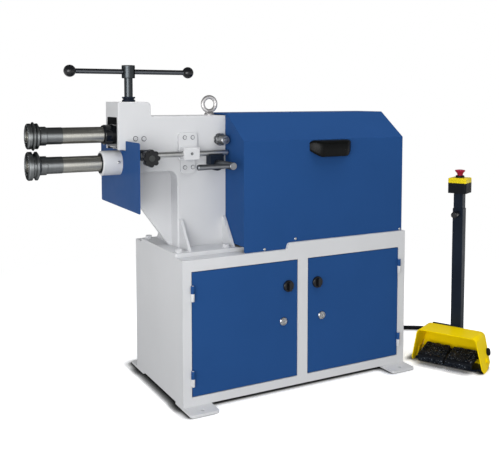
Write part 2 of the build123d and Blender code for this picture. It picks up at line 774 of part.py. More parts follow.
def lower_housing():
    x0 = WALL_X - HOUSING_OUT
    x1 = WALL_X + HOUSING_IN
    tube = rod_x(x0, x1, 0, LOWER_Z, HOUSING_D)
    tube = fillet(tube.edges().group_by(Axis.X)[0], CAST_ROUND)
    return tube - rod_x(x0, x1, 0, LOWER_Z, BUSH_D)


def bush(x0, x1, z):
    return rod_x(x0, x1, 0, z, BUSH_D) - rod_x(x0, x1, 0, z, BORE_D)


def lower_bushes():
    front = bush(WALL_X - HOUSING_OUT, WALL_X + HOUSING_IN, LOWER_Z)
    return front + bush(ARM_X1 - REAR_BUSH_L, ARM_X1, LOWER_Z)


def eye_bolt():
    ring = Pos(EYE_X, 0, ARM_TOP + EYE_RISE) * Rot(90, 0, 0) * Torus(EYE_RING / 2, EYE_WIRE / 2)
    collar_top = ARM_TOP + EYE_COLLAR_H
    neck_top = ARM_TOP + EYE_RISE - EYE_RING / 2
    base = turned_z(
        [(0, CAVITY_TOP), (EYE_SHANK / 2, CAVITY_TOP), (EYE_SHANK / 2, ARM_TOP), (EYE_COLLAR / 2, ARM_TOP),
         (EYE_COLLAR / 2, collar_top), (EYE_NECK_D / 2, neck_top), (0, neck_top)],
        EYE_X, 0,
    )
    return ring + base


def pivot_screws():
    """Pointed pivot screws through the cheeks, each with a round lock nut outside."""
    tip_y = CAVITY_HALF - BLOCK_SLIP - PIVOT_TIP_IN + SLIP
    screw = rod_y(SWING_X, CAVITY_HALF, ARM_HALF + PIVOT_OUT, SWING_Z, PIVOT_SCREW_D)
    screw = chamfer(screw.edges().group_by(Axis.Y)[-1], CAST_ROUND / 2)
    screw += rod_y(SWING_X, tip_y, CAVITY_HALF, SWING_Z, PIVOT_TIP_D)
    nut = rod_y(SWING_X, ARM_HALF, ARM_HALF + PIVOT_NUT_L, SWING_Z, PIVOT_NUT_D)
    nut = chamfer(nut.edges().filter_by(GeomType.CIRCLE), CAST_ROUND / 2) - screw
    return Compound(children=both_sides(screw).solids() + both_sides(nut).solids())


def gear_points():
    """Corners of a spur gear in Y and Z, the first tooth upwards."""
    pitch_r = (CENTRES - GEAR_SINK) / 2
    pitch = 2 * math.pi * pitch_r / GEAR_TEETH
    slope = math.tan(math.radians(20))
    points = []
    for tooth in range(GEAR_TEETH):
        middle = 2 * math.pi * tooth / GEAR_TEETH
        for step, side in ((-TOOTH_DED, -1), (TOOTH_ADD, -1), (TOOTH_ADD, 1), (-TOOTH_DED, 1)):
            r = pitch_r + step
            half_width = (pitch / 2 - TOOTH_BACKLASH / 2) / 2 - step * slope
            angle = middle + side * half_width / r
            points.append((r * math.sin(angle), r * math.cos(angle)))
    return points


def gear(z, phase):
    points = gear_points()
    blank = Pos(0, 0, z) * Rot(phase, 0, 0) * end_plate(points, GEAR_X0, GEAR_X0 + GEAR_W)
    return blank - rod_x(GEAR_X0, GEAR_X0 + GEAR_W, 0, z, TAIL_D)


def shaft(z, x1):
    """Stepped shaft: nose for the die, ground journal, tail for the gear."""
    nose = rod_x(DIE_X0 + NOSE_IN, SHOULDER_X, 0, z, NOSE_D)
    journal = rod_x(SHOULDER_X, GEAR_X0, 0, z, SHAFT_D)
    return nose + journal + rod_x(GEAR_X0, x1, 0, z, TAIL_D)


def spacer(z):
    """Collar behind the die with a ground sleeve back to the shaft's shoulder."""
    collar_x = DIE_X1 + COLLAR_W
    ring = rod_x(DIE_X1, collar_x, 0, z, COLLAR_D)
    ring = chamfer(ring.edges().filter_by(GeomType.CIRCLE), (COLLAR_D - SLEEVE_D) / 4)
    sleeve = rod_x(collar_x, SHOULDER_X, 0, z, SLEEVE_D)
    return ring + sleeve - rod_x(DIE_X1, SHOULDER_X, 0, z, NOSE_D)


def die_blank(points, z):
    face_x = DIE_X0 + DIE_FACE_DEEP
    blank = turned_x(points, z) - rod_x(DIE_X0, DIE_X1, 0, z, NOSE_D)
    return blank - rod_x(DIE_X0, face_x, 0, z, DIE_FACE_D)


def upper_die():
    """Male die: two flanks and the pointed bead in the middle."""
    r = UPPER_DIE_D / 2
    edge = DIE_W / 14
    waist = r - (RIDGE_D - UPPER_DIE_D) / 2
    x = DIE_X0 + DIE_W / 2
    flank = RIDGE_FOOT / 2
    tip = RIDGE_TIP / 2
    points = [
        (DIE_X0, 0), (DIE_X0, r - edge), (DIE_X0 + edge, r), (x - flank, r), (x - RIDGE_W / 2, waist),
        (x - tip, RIDGE_D / 2), (x + tip, RIDGE_D / 2), (x + RIDGE_W / 2, waist), (x + flank, r),
        (DIE_X1 - 2 * edge, r), (DIE_X1, COLLAR_D / 2), (DIE_X1, 0),
    ]
    return die_blank(points, UPPER_Z)


def lower_die():
    """Female die: two flanges and the groove that takes the bead."""
    r = LOWER_DIE_D / 2
    edge = DIE_W / 14
    x = DIE_X0 + DIE_W / 2
    points = [
        (DIE_X0, 0), (DIE_X0, r - edge), (DIE_X0 + edge, r), (x - GROOVE_W / 2, r),
        (x - GROOVE_W / 5, GROOVE_D / 2), (x + GROOVE_W / 5, GROOVE_D / 2), (x + GROOVE_W / 2, r),
        (DIE_X1 - 3 * edge, r), (DIE_X1, COLLAR_D / 2), (DIE_X1, 0),
    ]
    return die_blank(points, LOWER_Z)


def die_nut(z):
    """Round slotted nut in the die's face."""
    x1 = DIE_X0 + DIE_FACE_DEEP
    nut = rod_x(x1 - NUT_W, x1, 0, z, NUT_D)
    nut -= rod_x(x1 - NUT_W, x1, 0, z, NOSE_D)
    slot_z = z + NOSE_D / 2 + NUT_WEB
    slot = block(x1 - NUT_W, x1 - NUT_W / 3, -NUT_SLOT / 2, NUT_SLOT / 2, slot_z, z + NUT_D / 2)
    centre = Axis((0, 0, z), (1, 0, 0))
    for turn in range(4):
        nut -= slot.rotate(centre, 90 * turn + 45)
    return nut


def drive_coupling():
    """Sleeve that joins the lower shaft to the output shaft of the reducer."""
    x1 = COUPLING_X0 + COUPLING_L
    sleeve = rod_x(COUPLING_X0, x1, 0, LOWER_Z, COUPLING_D)
    sleeve = chamfer(sleeve.edges().filter_by(GeomType.CIRCLE), CAST_ROUND)
    sleeve -= rod_x(COUPLING_X0, x1, 0, LOWER_Z, TAIL_D)
    output = rod_x(COUPLING_X0 + COUPLING_L / 2, REDUCER_X0 + REDUCER_L / 4, 0, LOWER_Z, TAIL_D)
    return Compound(children=[sleeve.solid(), output.solid()])


def reducer():
    """Inline gear reducer: a ribbed case with a bearing boss, standing on the stand."""
    x1 = REDUCER_X0 + REDUCER_L
    case = block(
        REDUCER_X0, x1, -REDUCER_HALF, REDUCER_HALF, STAND_TOP, LOWER_Z + REDUCER_UP
    )
    case = fillet(case.edges().filter_by(Axis.X).group_by(Axis.Z)[-1], REDUCER_ROUND)
    boss = rod_x(REDUCER_X0 - CHEEK, REDUCER_X0, 0, LOWER_Z, BUSH_D + 2 * CHEEK)
    hole = rod_x(REDUCER_X0 - CHEEK, REDUCER_X0 + REDUCER_L / 4, 0, LOWER_Z, TAIL_D + 2 * RUN_FIT)
    return case + boss - hole


def gear_motor():
    return Compound(children=[reducer().solid(), motor().solid()])


def motor():
    """Flange motor with a fan cowl and a terminal box."""
    x0 = REDUCER_X0 + REDUCER_L
    x1 = x0 + MOTOR_L
    r = MOTOR_D / 2
    body_r = MOTOR_BODY_D / 2
    tip_r = COWL_TIP_D / 2
    body_x = x0 + MOTOR_FLANGE_T
    cowl_x = x1 - COWL_L
    points = [
        (x0, 0), (x0, r), (body_x, r), (body_x, body_r), (cowl_x, body_r), (cowl_x, r),
        (x1 - COWL_TAPER, r), (x1, tip_r), (x1, 0),
    ]
    box_half = TERMINAL_W / 2
    box_x = x0 + TERMINAL_IN
    terminal = block(
        box_x, box_x + TERMINAL_L, -box_half, box_half, LOWER_Z + tip_r, LOWER_Z + TERMINAL_UP
    )
    return turned_x(points, LOWER_Z) + terminal


def reducer_stand():
    """Welded stand under the reducer, bolted to the cabinet's top."""
    x0 = REDUCER_X0 - STAND_OVERHANG
    x1 = REDUCER_X0 + REDUCER_L + STAND_OVERHANG
    half = REDUCER_HALF + STAND_OVERHANG
    top = block(x0, x1, -half, half, STAND_TOP - STAND_PLATE, STAND_TOP)
    foot = block(x0, x1, -half, half, CAB_TOP, CAB_TOP + STAND_PLATE)
    stand = top + foot
    wall_z = CAB_TOP + STAND_PLATE
    for x in (x0 + STAND_OVERHANG, x1 - STAND_OVERHANG - STAND_WALL):
        stand += block(x, x + STAND_WALL, -REDUCER_HALF, REDUCER_HALF, wall_z, STAND_TOP - STAND_PLATE)
    return stand


def upper_block():
    """Sliding bearing block in the head's slot, with a round nose and a stirrup for the spindle's foot."""
    x1 = HEAD_X0 + BLOCK_L
    half = CAVITY_HALF - BLOCK_SLIP
    body = block(HEAD_X0, x1, -half, half, UPPER_Z - BLOCK_DOWN, BLOCK_TOP)
    body = chamfer(body.edges().filter_by(Axis.Y).group_by(Axis.X)[0], CAST_ROUND)
    nose = rod_x(HEAD_X0 - NOSE_OUT, HEAD_X0, 0, UPPER_Z, NOSE_BOSS_D)
    nose = fillet(nose.edges().group_by(Axis.X)[0], CAST_ROUND)
    room = FOOT_DISC_D / 2 + 3 * FOOT_PLAY
    roof = BLOCK_TOP + FOOT_DISC_H + FOOT_PLAY
    side = room + STIRRUP_WALL
    stirrup = block(SPINDLE_X - side, SPINDLE_X + side, -side, side, BLOCK_TOP, roof + STIRRUP_LIP)
    stirrup = fillet(stirrup.edges().filter_by(Axis.Z), STIRRUP_WALL)
    stirrup -= block(SPINDLE_X - room, SPINDLE_X + room, -side, room, BLOCK_TOP, roof)
    neck = FOOT_NECK_D / 2 + 3 * FOOT_PLAY
    stirrup -= block(SPINDLE_X - neck, SPINDLE_X + neck, -side, neck, roof, roof + STIRRUP_LIP)
    return body + nose + stirrup - rod_x(HEAD_X0 - NOSE_OUT, x1, 0, UPPER_Z, BUSH_D)


def pivot_carrier():
    """Rear bearing housing that hangs on the pivot screws."""
    half = CAVITY_HALF - BLOCK_SLIP
    x0 = SWING_X - CARRIER_HALF_L
    x1 = SWING_X + CARRIER_HALF_L
    body = block(x0, x1, -half, half, UPPER_Z - CARRIER_DOWN, UPPER_Z + CARRIER_UP)
    body = chamfer(body.edges().filter_by(Axis.X), CAST_ROUND)
    tip = rod_y(SWING_X, half - PIVOT_TIP_IN, half, SWING_Z, PIVOT_TIP_D + 2 * RUN_FIT)
    return body - both_sides(tip) - rod_x(x0, x1, 0, UPPER_Z, BUSH_D)


def upper_bushes():
    front = bush(HEAD_X0 - NOSE_OUT, HEAD_X0 + BLOCK_L, UPPER_Z)
    return front + bush(SWING_X - CARRIER_HALF_L, SWING_X + CARRIER_HALF_L, UPPER_Z)


def spindle_foot():
    """Disc in the stirrup with a shallow crown below, and its neck."""
    z0 = SPINDLE_FOOT_Z
    disc_r = FOOT_DISC_D / 2
    neck_r = FOOT_NECK_D / 2
    points = [
        (0, z0), (FOOT_CROWN_D / 2, z0), (disc_r, z0 + FOOT_PLAY), (disc_r, z0 + FOOT_DISC_H),
        (neck_r, z0 + FOOT_DISC_H), (neck_r, SPINDLE_Z), (0, SPINDLE_Z),
    ]
    return turned_z(points, SPINDLE_X, 0)


def spindle():
    """Feed screw with its cross-bored hub."""
    hub_top = HUB_Z + HUB_H
    screw = rod_z(SPINDLE_X, 0, SPINDLE_Z, HUB_Z, SPINDLE_D)
    hub = rod_z(SPINDLE_X, 0, HUB_Z, hub_top, HUB_D)
    hub = fillet(hub.edges().filter_by(GeomType.CIRCLE), CAST_ROUND / 2)
    return screw + hub - rod_x(SPINDLE_X - HUB_D, SPINDLE_X + HUB_D, 0, HUB_Z + HUB_H / 2, BAR_D)


def bar_ends():
    middle = SPINDLE_X + BAR_SHIFT
    return middle - BAR_SPAN / 2, middle + BAR_SPAN / 2


def handle_bar():
    x0, x1 = bar_ends()
    return rod_x(x0, x1, 0, HUB_Z + HUB_H / 2, BAR_D)


def handle_balls():
    z = HUB_Z + HUB_H / 2
    balls = Part()
    for x in bar_ends():
        balls += Pos(x, 0, z) * Sphere(BALL_D / 2)
    return balls - handle_bar()


def spindle_nut():
    """Bronze nut in the head, with two rings above it."""
    fit = SPINDLE_D + 2 * THREAD_FIT
    body = rod_z(SPINDLE_X, 0, SLOT_TOP, HEAD_TOP, NUT_BODY_D)
    low = rod_z(SPINDLE_X, 0, HEAD_TOP, HEAD_TOP + NUT_RING_H, NUT_RING_D)
    waist_z = HEAD_TOP + NUT_RING_H
    cap_z = waist_z + NUT_WAIST_H
    top = cap_z + NUT_CAP_H
    waist = rod_z(SPINDLE_X, 0, waist_z, cap_z, NUT_RING_D - NUT_RING_H)
    cap = rod_z(SPINDLE_X, 0, cap_z, top, NUT_RING_D)
    rings = [chamfer(ring.edges().filter_by(GeomType.CIRCLE), NUT_RING_H / 6) for ring in (low, cap)]
    return body + waist + rings - rod_z(SPINDLE_X, 0, SLOT_TOP, top, fit)


def gauge_bracket():
    """Plate on the casting with the block that guides the rod."""
    y1 = -ARM_HALF
    y0 = y1 - BRACKET_T
    x0 = BRACKET_X0
    x1 = BRACKET_X0 + BRACKET_L
    step_z = GAUGE_Z - GUIDE_H / 2
    wide = block(x0, x1, y0, y1, step_z, GAUGE_Z + BRACKET_UP)
    wide = fillet(wide.edges().filter_by(Axis.Y).group_by(Axis.Z)[-1], BRACKET_ROUND)
    narrow = block(x0 + BRACKET_STEP, x1 - BRACKET_STEP, y0, y1, GAUGE_Z - BRACKET_DOWN, step_z)
    narrow = fillet(narrow.edges().filter_by(Axis.Y).group_by(Axis.Z)[0], BRACKET_ROUND)
    guide_x1 = GUIDE_X0 + GUIDE_L
    guide = block(GUIDE_X0, guide_x1, y1 - GUIDE_OUT, y0, step_z, step_z + GUIDE_H)
    guide = chamfer(guide.faces().sort_by(Axis.Y)[0].edges(), BRACKET_T / 6)
    bore = rod_x(GUIDE_X0, guide_x1, GAUGE_Y, GAUGE_Z, ROD_D + 2 * RUN_FIT)
    return wide + narrow + guide - bore


def gauge_rod():
    rod = rod_x(ROD_X0, ROD_X0 + ROD_L, GAUGE_Y, GAUGE_Z, ROD_D)
    return chamfer(rod.edges().filter_by(GeomType.CIRCLE), ROD_D / 20)


def gauge_end_block():
    half = END_BLOCK / 2
    body = block(
        ROD_X0, ROD_X0 + END_BLOCK, GAUGE_Y - half, GAUGE_Y + half, GAUGE_Z - half, GAUGE_Z + half
    )
    body = chamfer(body.edges().filter_by(Axis.X), END_BLOCK / 10)
    x = ROD_X0 + half
    stud = rod_y(x, GAUGE_Y - half, GAUGE_Y, KNOB_Z, KNOB_STUD + 2 * RUN_FIT)
    return body - stud - gauge_rod()


def gauge_knob():
    """Lobed knob with its stem and stud."""
    x = ROD_X0 + END_BLOCK / 2
    face = GAUGE_Y - END_BLOCK / 2 - SLIP
    lobe = KNOB_D / 7
    star = Circle(KNOB_CORE_D / 2)
    star += PolarLocations(KNOB_D / 2 - lobe, KNOB_LOBES) * Circle(lobe)
    head = extrude(star, KNOB_T)
    head = fillet(head.edges().group_by(Axis.Z)[-1], lobe / 3)
    head = Pos(x, face - KNOB_STEM, KNOB_Z) * Rot(90, 0, 0) * head
    stem = rod_y(x, face - KNOB_STEM, face, KNOB_Z, KNOB_STEM_D)
    return head + stem + rod_y(x, face, GAUGE_Y - ROD_D / 2 - SLIP, KNOB_Z, KNOB_STUD)


def gauge_clamp():
    """Lug welded under the rod, round below, that holds the cross rod."""
    half = CLAMP_DEEP / 2
    x0 = CROSS_X - CLAMP_W / 2
    body = block(x0, x0 + CLAMP_W, GAUGE_Y - half, GAUGE_Y + half, CROSS_Z, GAUGE_Z - CLAMP_TOP)
    body += rod_y(CROSS_X, GAUGE_Y - half, GAUGE_Y + half, CROSS_Z, CLAMP_W)
    return body - gauge_rod() - cross_rod()


def cross_rod():
    y1 = GAUGE_Y + CLAMP_DEEP / 2
    rod = rod_y(CROSS_X, y1 - CROSS_L, y1, CROSS_Z, CROSS_D)
    return chamfer(rod.edges().filter_by(GeomType.CIRCLE), CROSS_D / 20)


def gauge_finger():
    """Stop of two rods: a cross rod, and a tapered finger near its end that points to the rolls."""
    y = GAUGE_Y + CLAMP_DEEP / 2 - CROSS_L + FINGER_BACK
    x0 = CROSS_X - FINGER_L
    tip = FINGER_D / 2
    edge = FINGER_D / 6
    points = [(x0, 0), (x0, tip - edge), (x0 + edge, tip), (CROSS_X, FINGER_ROOT_D / 2), (CROSS_X, 0)]
    return cross_rod() + Pos(0, y, 0) * turned_x(points, CROSS_Z)


def guard_section(inset, z0):
    """Outline of the pedal guard from the front, moved in by inset and cut off at z0."""
    lean = (GUARD_FOOT - GUARD_TOP) / 2 / GUARD_H
    top = GUARD_H - inset

    def half(z):
        return GUARD_FOOT / 2 - lean * z - inset * math.hypot(1, lean)

    points = [(-half(z0), z0), (-half(top), top), (half(top), top), (half(z0), z0)]
    face = make_face(Polyline([(u, 0, z) for u, z in points], close=True)).face()
    corners = face.vertices().group_by(Axis.Z)[-1]
    return face.fillet_2d(GUARD_BEND - inset, corners)


def guard_block(inset, v0, v1, z0=0.0):
    return Pos(0, v0, 0) * extrude(guard_section(inset, z0), amount=v1 - v0, dir=(0, 1, 0))


def pedal_guard():
    """Bent guard over the treads, with a back wall and tapered legs."""
    bent = guard_block(0, GUARD_FRONT, GUARD_BACK) - guard_block(GUARD_T, GUARD_FRONT, GUARD_BACK)
    wall = guard_block(GUARD_T, GUARD_BACK - GUARD_T, GUARD_BACK, GUARD_SKIRT)
    span = GUARD_FOOT
    toe = GUARD_TOE
    leg = [
        (GUARD_FRONT, GUARD_H), (GUARD_BACK, GUARD_H), (GUARD_BACK, GUARD_SKIRT), (GUARD_LEG, toe),
        (GUARD_LEG - toe, 0), (toe - GUARD_LEG / 2, 0), (-GUARD_LEG / 2, toe),
    ]
    keep = make_face(Polyline([(-span, v, z) for v, z in leg], close=True)).face()
    keep = extrude(keep, amount=2 * span, dir=(1, 0, 0))
    return PEDAL * ((bent + wall) & keep) - guard_bolts()


def guard_bolts():
    """Round-headed bolts through the guard's legs and the tabs of the base."""
    lean = (GUARD_FOOT - GUARD_TOP) / 2 / GUARD_H
    tilt = math.degrees(math.atan(lean))
    z = GUARD_BOLT_Z
    u = GUARD_FOOT / 2 - lean * z
    bolt = Pos(0, 0, -2 * GUARD_T - SLIP) * Cylinder(
        GUARD_BOLT_D / 2, 2 * GUARD_T + SLIP, align=(Align.CENTER, Align.CENTER, Align.MIN)
    )
    head = Cylinder(GUARD_BOLT_HEAD / 2, GUARD_BOLT_D / 2, align=(Align.CENTER, Align.CENTER, Align.MIN))
    head = fillet(head.edges().group_by(Axis.Z)[-1], GUARD_BOLT_D / 6)
    one = Pos(u, TAB_V + TAB_L / 2, z) * Rot(0, 90 - tilt, 0) * (bolt + head)
    return PEDAL * (one + mirror(one, Plane.YZ))


def pedal_base():
    """Floor plate with side tabs, the treads' pin in its lugs and the cable's boss."""
    lean = (GUARD_FOOT - GUARD_TOP) / 2 / GUARD_H
    half = GUARD_FOOT / 2 - lean * BASE_T - GUARD_T * math.hypot(1, lean)
    plate = block(-half, half, BASE_FRONT, GUARD_BACK, 0, BASE_T)
    tail = block(-BASE_TAIL, BASE_TAIL, GUARD_BACK, BASE_BACK, 0, BASE_T)
    tail = fillet(tail.edges().filter_by(Axis.Z).group_by(Axis.Y)[-1], CAST_ROUND * 3)
    tabs = guard_block(GUARD_T, TAB_V, TAB_V + TAB_L) - guard_block(2 * GUARD_T, TAB_V, TAB_V + TAB_L)
    tabs &= block(-GUARD_FOOT, GUARD_FOOT, TAB_V, TAB_V + TAB_L, BASE_T, TAB_H)
    boss = block(
        PEDAL_GLAND_U - GLAND_BOSS_W / 2, PEDAL_GLAND_U + GLAND_BOSS_W / 2, GUARD_BACK + GUARD_T,
        BASE_BACK - CAST_ROUND, BASE_T, PEDAL_GLAND_Z + GLAND_BOSS_W / 2,
    )
    boss = fillet(boss.edges().filter_by(Axis.Y).group_by(Axis.Z)[-1], GLAND_BOSS_W / 3)
    body = plate + tail + tabs + boss
    for u in (-TREAD_W - TREAD_GAP / 2 - LUG_GAP - LUG_T, TREAD_W + TREAD_GAP / 2 + LUG_GAP):
        lug = block(u, u + LUG_T, PIN_V - BARREL_D / 2, PIN_V + BARREL_D / 2, BASE_T, PIN_Z)
        body += lug + rod_x(u, u + LUG_T, PIN_V, PIN_Z, BARREL_D)
    half = TREAD_W + TREAD_GAP / 2 + LUG_GAP + LUG_T
    body += rod_x(-half, half, PIN_V, PIN_Z, PIN_D)
    return PEDAL * body - guard_bolts()


def tread(side):
    """One foot tread with its front lip and hinge barrel."""
    u0 = TREAD_GAP / 2
    u1 = u0 + TREAD_W
    heel = PIN_V - BARREL_D / 2
    outline = [
        (TREAD_FRONT, TREAD_LIP), (TREAD_FRONT, TREAD_LOW), (heel, TREAD_HIGH), (PIN_V, PIN_Z + BARREL_D / 2),
        (PIN_V, PIN_Z), (heel, PIN_Z), (heel, TREAD_HIGH - TREAD_T),
        (TREAD_FRONT + TREAD_T, TREAD_LOW - TREAD_T), (TREAD_FRONT + TREAD_T, TREAD_LIP),
    ]
    face = make_face(Polyline([(u0, v, z) for v, z in outline], close=True)).face()
    for v, z in outline[1:3]:
        face = face.fillet_2d(TREAD_ROUND, [face.vertices().sort_by_distance((u0, v, z))[0]])
    plate = extrude(face, amount=TREAD_W, dir=(1, 0, 0))
    barrel = rod_x(u0, u1, PIN_V, PIN_Z, BARREL_D)
    half = plate + barrel - rod_x(u0, u1, PIN_V, PIN_Z, PIN_D + 2 * RUN_FIT)
    return PEDAL * (half if side > 0 else mirror(half, Plane.YZ))


def square_tube(size, wall, z0, z1):
    outer = block(-size / 2, size / 2, -size / 2, size / 2, z0, z1)
    outer = fillet(outer.edges().filter_by(Axis.Z), wall)
    inner = size / 2 - wall
    return Pos(POST_U, POST_V, 0) * (outer - block(-inner, inner, -inner, inner, z0, z1))


def post_outer():
    """Lower tube of the post, with the plate to the guard and a boss for the clamp screw."""
    tube = square_tube(POST_OUTER, POST_WALL, BASE_T, POST_TOP)
    right = POST_U + POST_OUTER / 2 - POST_WALL
    plate = block(
        right - POST_OUTER - POST_BRACKET_L, right, GUARD_BACK, POST_FRONT,
        GUARD_H - POST_BRACKET_H, GUARD_H + GUARD_T,
    )
    boss = rod_y(POST_U, POST_FRONT - CLAMP_BOSS_L, POST_FRONT, CLAMP_KNOB_Z, CLAMP_KNOB_D)
    hole_d = CLAMP_STUD + 2 * RUN_FIT
    hole = rod_y(POST_U, POST_FRONT - CLAMP_BOSS_L, POST_FRONT + POST_WALL, CLAMP_KNOB_Z, hole_d)
    return PEDAL * (tube + plate + boss - hole)


def post_inner():
    size = POST_OUTER - 2 * POST_WALL - 2 * POST_SLIP
    return PEDAL * square_tube(size, INNER_WALL, INNER_TOP - INNER_L, INNER_TOP)


def clamp_knob():
    v1 = POST_FRONT - CLAMP_BOSS_L - SLIP
    knob = rod_y(POST_U, v1 - CLAMP_KNOB_L, v1, CLAMP_KNOB_Z, CLAMP_KNOB_D)
    knob = fillet(knob.edges().filter_by(GeomType.CIRCLE), CLAMP_KNOB_D / 9)
    return PEDAL * (knob + rod_y(POST_U, v1, POST_FRONT + POST_WALL, CLAMP_KNOB_Z, CLAMP_STUD))


def stop_box():
    half = BOX_W / 2
    box = block(-half, half, -half, half, INNER_TOP, LID_Z)
    box = fillet(box.edges().filter_by(Axis.Z), BOX_ROUND)
    return PEDAL * Pos(POST_U, POST_V, 0) * box


def stop_lid():
    """Lid of the stop box with the button's collar on it."""
    half = BOX_W / 2
    lid = block(-half, half, -half, half, LID_Z, LID_TOP)
    lid = fillet(lid.edges().filter_by(Axis.Z), BOX_ROUND)
    lid = fillet(lid.edges().group_by(Axis.Z)[-1], LID_ROUND)
    ring = rod_z(0, 0, LID_TOP, LID_TOP + STOP_COLLAR_H, STOP_COLLAR_D)
    ring = chamfer(ring.edges().group_by(Axis.Z)[-1], STOP_COLLAR_H / 4)
    well = LID_TOP - LID_H / 2 - STOP_TRAVEL
    hole = rod_z(0, 0, well, LID_TOP + STOP_COLLAR_H, STOP_STEM_D + 2 * RUN_FIT)
    pair = Compound(children=[(lid - hole).solid(), (ring - hole).solid()])
    return PEDAL * Pos(POST_U, POST_V, 0) * pair


def stop_button():
    """Flared mushroom head on a stem that runs down into the lid."""
    rim = MUSHROOM_D / 2
    stem = STOP_STEM_D / 2
    foot = LID_TOP - LID_H / 2
    top = BUTTON_Z + MUSHROOM_H
    step = MUSHROOM_H / 12
    points = [
        (0, foot), (stem, foot), (stem, BUTTON_Z), (MUSHROOM_NECK_D / 2, BUTTON_Z + 3 * step),
        (rim - step / 2, top - 4 * step), (rim, top - 2 * step), (rim - step, top - step),
        (MUSHROOM_CROWN_D / 2, top), (0, top),
    ]
    return PEDAL * Pos(POST_U, POST_V, 0) * turned_z(points, 0, 0)


def coil_point(turn):
    """A point of the coil's middle line, and its direction, after so many turns."""
    half = CABLE_TURNS / 2
    off = turn - half
    r = COIL_MEAN + CABLE_STEP * (abs(off) - half / 2)
    climb = min(max(off * 2 + 0.5, 0), 1)
    z = CABLE_D / 2 + CABLE_STEP * (3 * climb ** 2 - 2 * climb ** 3)
    rise = CABLE_STEP * (6 * climb - 6 * climb ** 2) * 2
    spread = CABLE_STEP * ((off > 0) - (off < 0))
    angle = math.radians(COIL_TURN) - 2 * math.pi * turn
    out = Vector(math.cos(angle), math.sin(angle), 0)
    along = Vector(math.sin(angle), -math.cos(angle), 0)
    ahead = along * (2 * math.pi * r) + out * spread + Vector(0, 0, rise)
    return Vector(COIL_X, COIL_Y, z) + out * r, ahead.normalized()


def biarc(p0, t0, p1, t1):
    """Two arcs that leave p0 along t0 and reach p1 along t1."""
    chord = p1 - p0
    a = 2 * (1 - t0.dot(t1))
    b = 2 * chord.dot(t0 + t1)
    reach = (-b + math.sqrt(b * b + 4 * a * chord.dot(chord))) / (2 * a)
    q0 = p0 + t0 * reach
    q1 = p1 - t1 * reach
    middle = (q0 + q1) * 0.5
    return [TangentArc(p0, middle, tangent=t0), TangentArc(middle, p1, tangent=q1 - q0)]


def tube(path, start, direction):
    section = Plane(origin=start, z_dir=direction) * Circle(CABLE_D / 2)
    return sweep(section, path=path)


def coil_line():
    """The coil's middle line: straight for one diameter, quarter turns of two arcs, straight again."""
    steps = 4 * CABLE_TURNS
    stops = [coil_point(step / 4) for step in range(steps + 1)]
    first, last = coil_ends()
    edges = [Line(first, stops[0][0])]
    for (p0, t0), (p1, t1) in zip(stops, stops[1:]):
        edges += biarc(p0, t0, p1, t1)
    edges.append(Line(stops[-1][0], last))
    return Wire([edge.edge() for edge in edges])


def coil_ends():
    p0, t0 = coil_point(0)
    p1, t1 = coil_point(CABLE_TURNS)
    return p0 - t0 * CABLE_D, p1 + t1 * CABLE_D


def coil_gap(line):
    """Least clear distance of the coil to itself, on points along its line."""
    count = COIL_SAMPLES * CABLE_TURNS
    points = [line.position_at(step / count) for step in range(count + 1)]
    apart = int(count / CABLE_TURNS / 3)
    least = min((q - p).length for i, p in enumerate(points) for q in points[i + apart:])
    return least - CABLE_D


def cable_coil():
    line = coil_line()
    first, _ = coil_ends()
    solid = tube(line, first, coil_point(0)[1])
    print("coil length", round(line.length), "gap", round(coil_gap(line), 2),
          "volume share", round(solid.volume / (line.length * math.pi * CABLE_D ** 2 / 4), 4))
    return solid


def cable_run(name, points):
    """A tube on straight runs and the largest arcs that they allow."""
    points = [Vector(point) for point in points]
    radii = []
    for before, corner, after in zip(points, points[1:], points[2:]):
        turn = math.radians((corner - before).get_angle(after - corner))
        radii.append(ARC_SHARE * min((corner - before).length, (after - corner).length) / math.tan(turn / 2))
    path = FilletPolyline(*points, radius=radii)
    line = Wire(path.edges())
    solid = tube(line, points[0], points[1] - points[0])
    print(name, "length", round(line.length), "radii", [round(radius) for radius in radii],
          "volume share", round(solid.volume / (line.length * math.pi * CABLE_D ** 2 / 4), 4))
    return solid


def cabinet_cable():
    """Run from the gland on the cabinet's side down to the floor and into the coil."""
    exit_x = CAB_W / 2 + GLAND_L
    last, _ = coil_ends()
    before = last - coil_point(0)[1] * CABLE_LEAD
    first_run = [
        (exit_x, SIDE_GLAND_Y, SIDE_GLAND_Z), (exit_x + CABLE_LEAD, SIDE_GLAND_Y, SIDE_GLAND_Z),
    ]
    return cable_run("cabinet cable", first_run + [before, last])


def stand_cable():
    """Run from the coil along the floor, round behind the stand and into its gland."""
    _, first = coil_ends()
    after = first + coil_point(CABLE_TURNS)[1] * CABLE_LEAD
    end = PEDAL_EXIT.position + PEDAL_BACK * GLAND_L
    before = end + PEDAL_BACK * PEDAL_LEAD
    route = [
        (762, 174, 17), (820, 142, 8), (882, 108, 8), (938, 66, 8), (975, 8, 8), (993, -60, 8),
        (993, -130, 8), (980, -196, 8), (954, -252, 12),
    ]
    return cable_run("pedal cable", [first, after] + route + [before, end])


def pedal_cable():
    return Compound(children=[cabinet_cable().solid(), stand_cable().solid()])


def mirrored(piece):
    return mirror(piece, Plane.YZ)


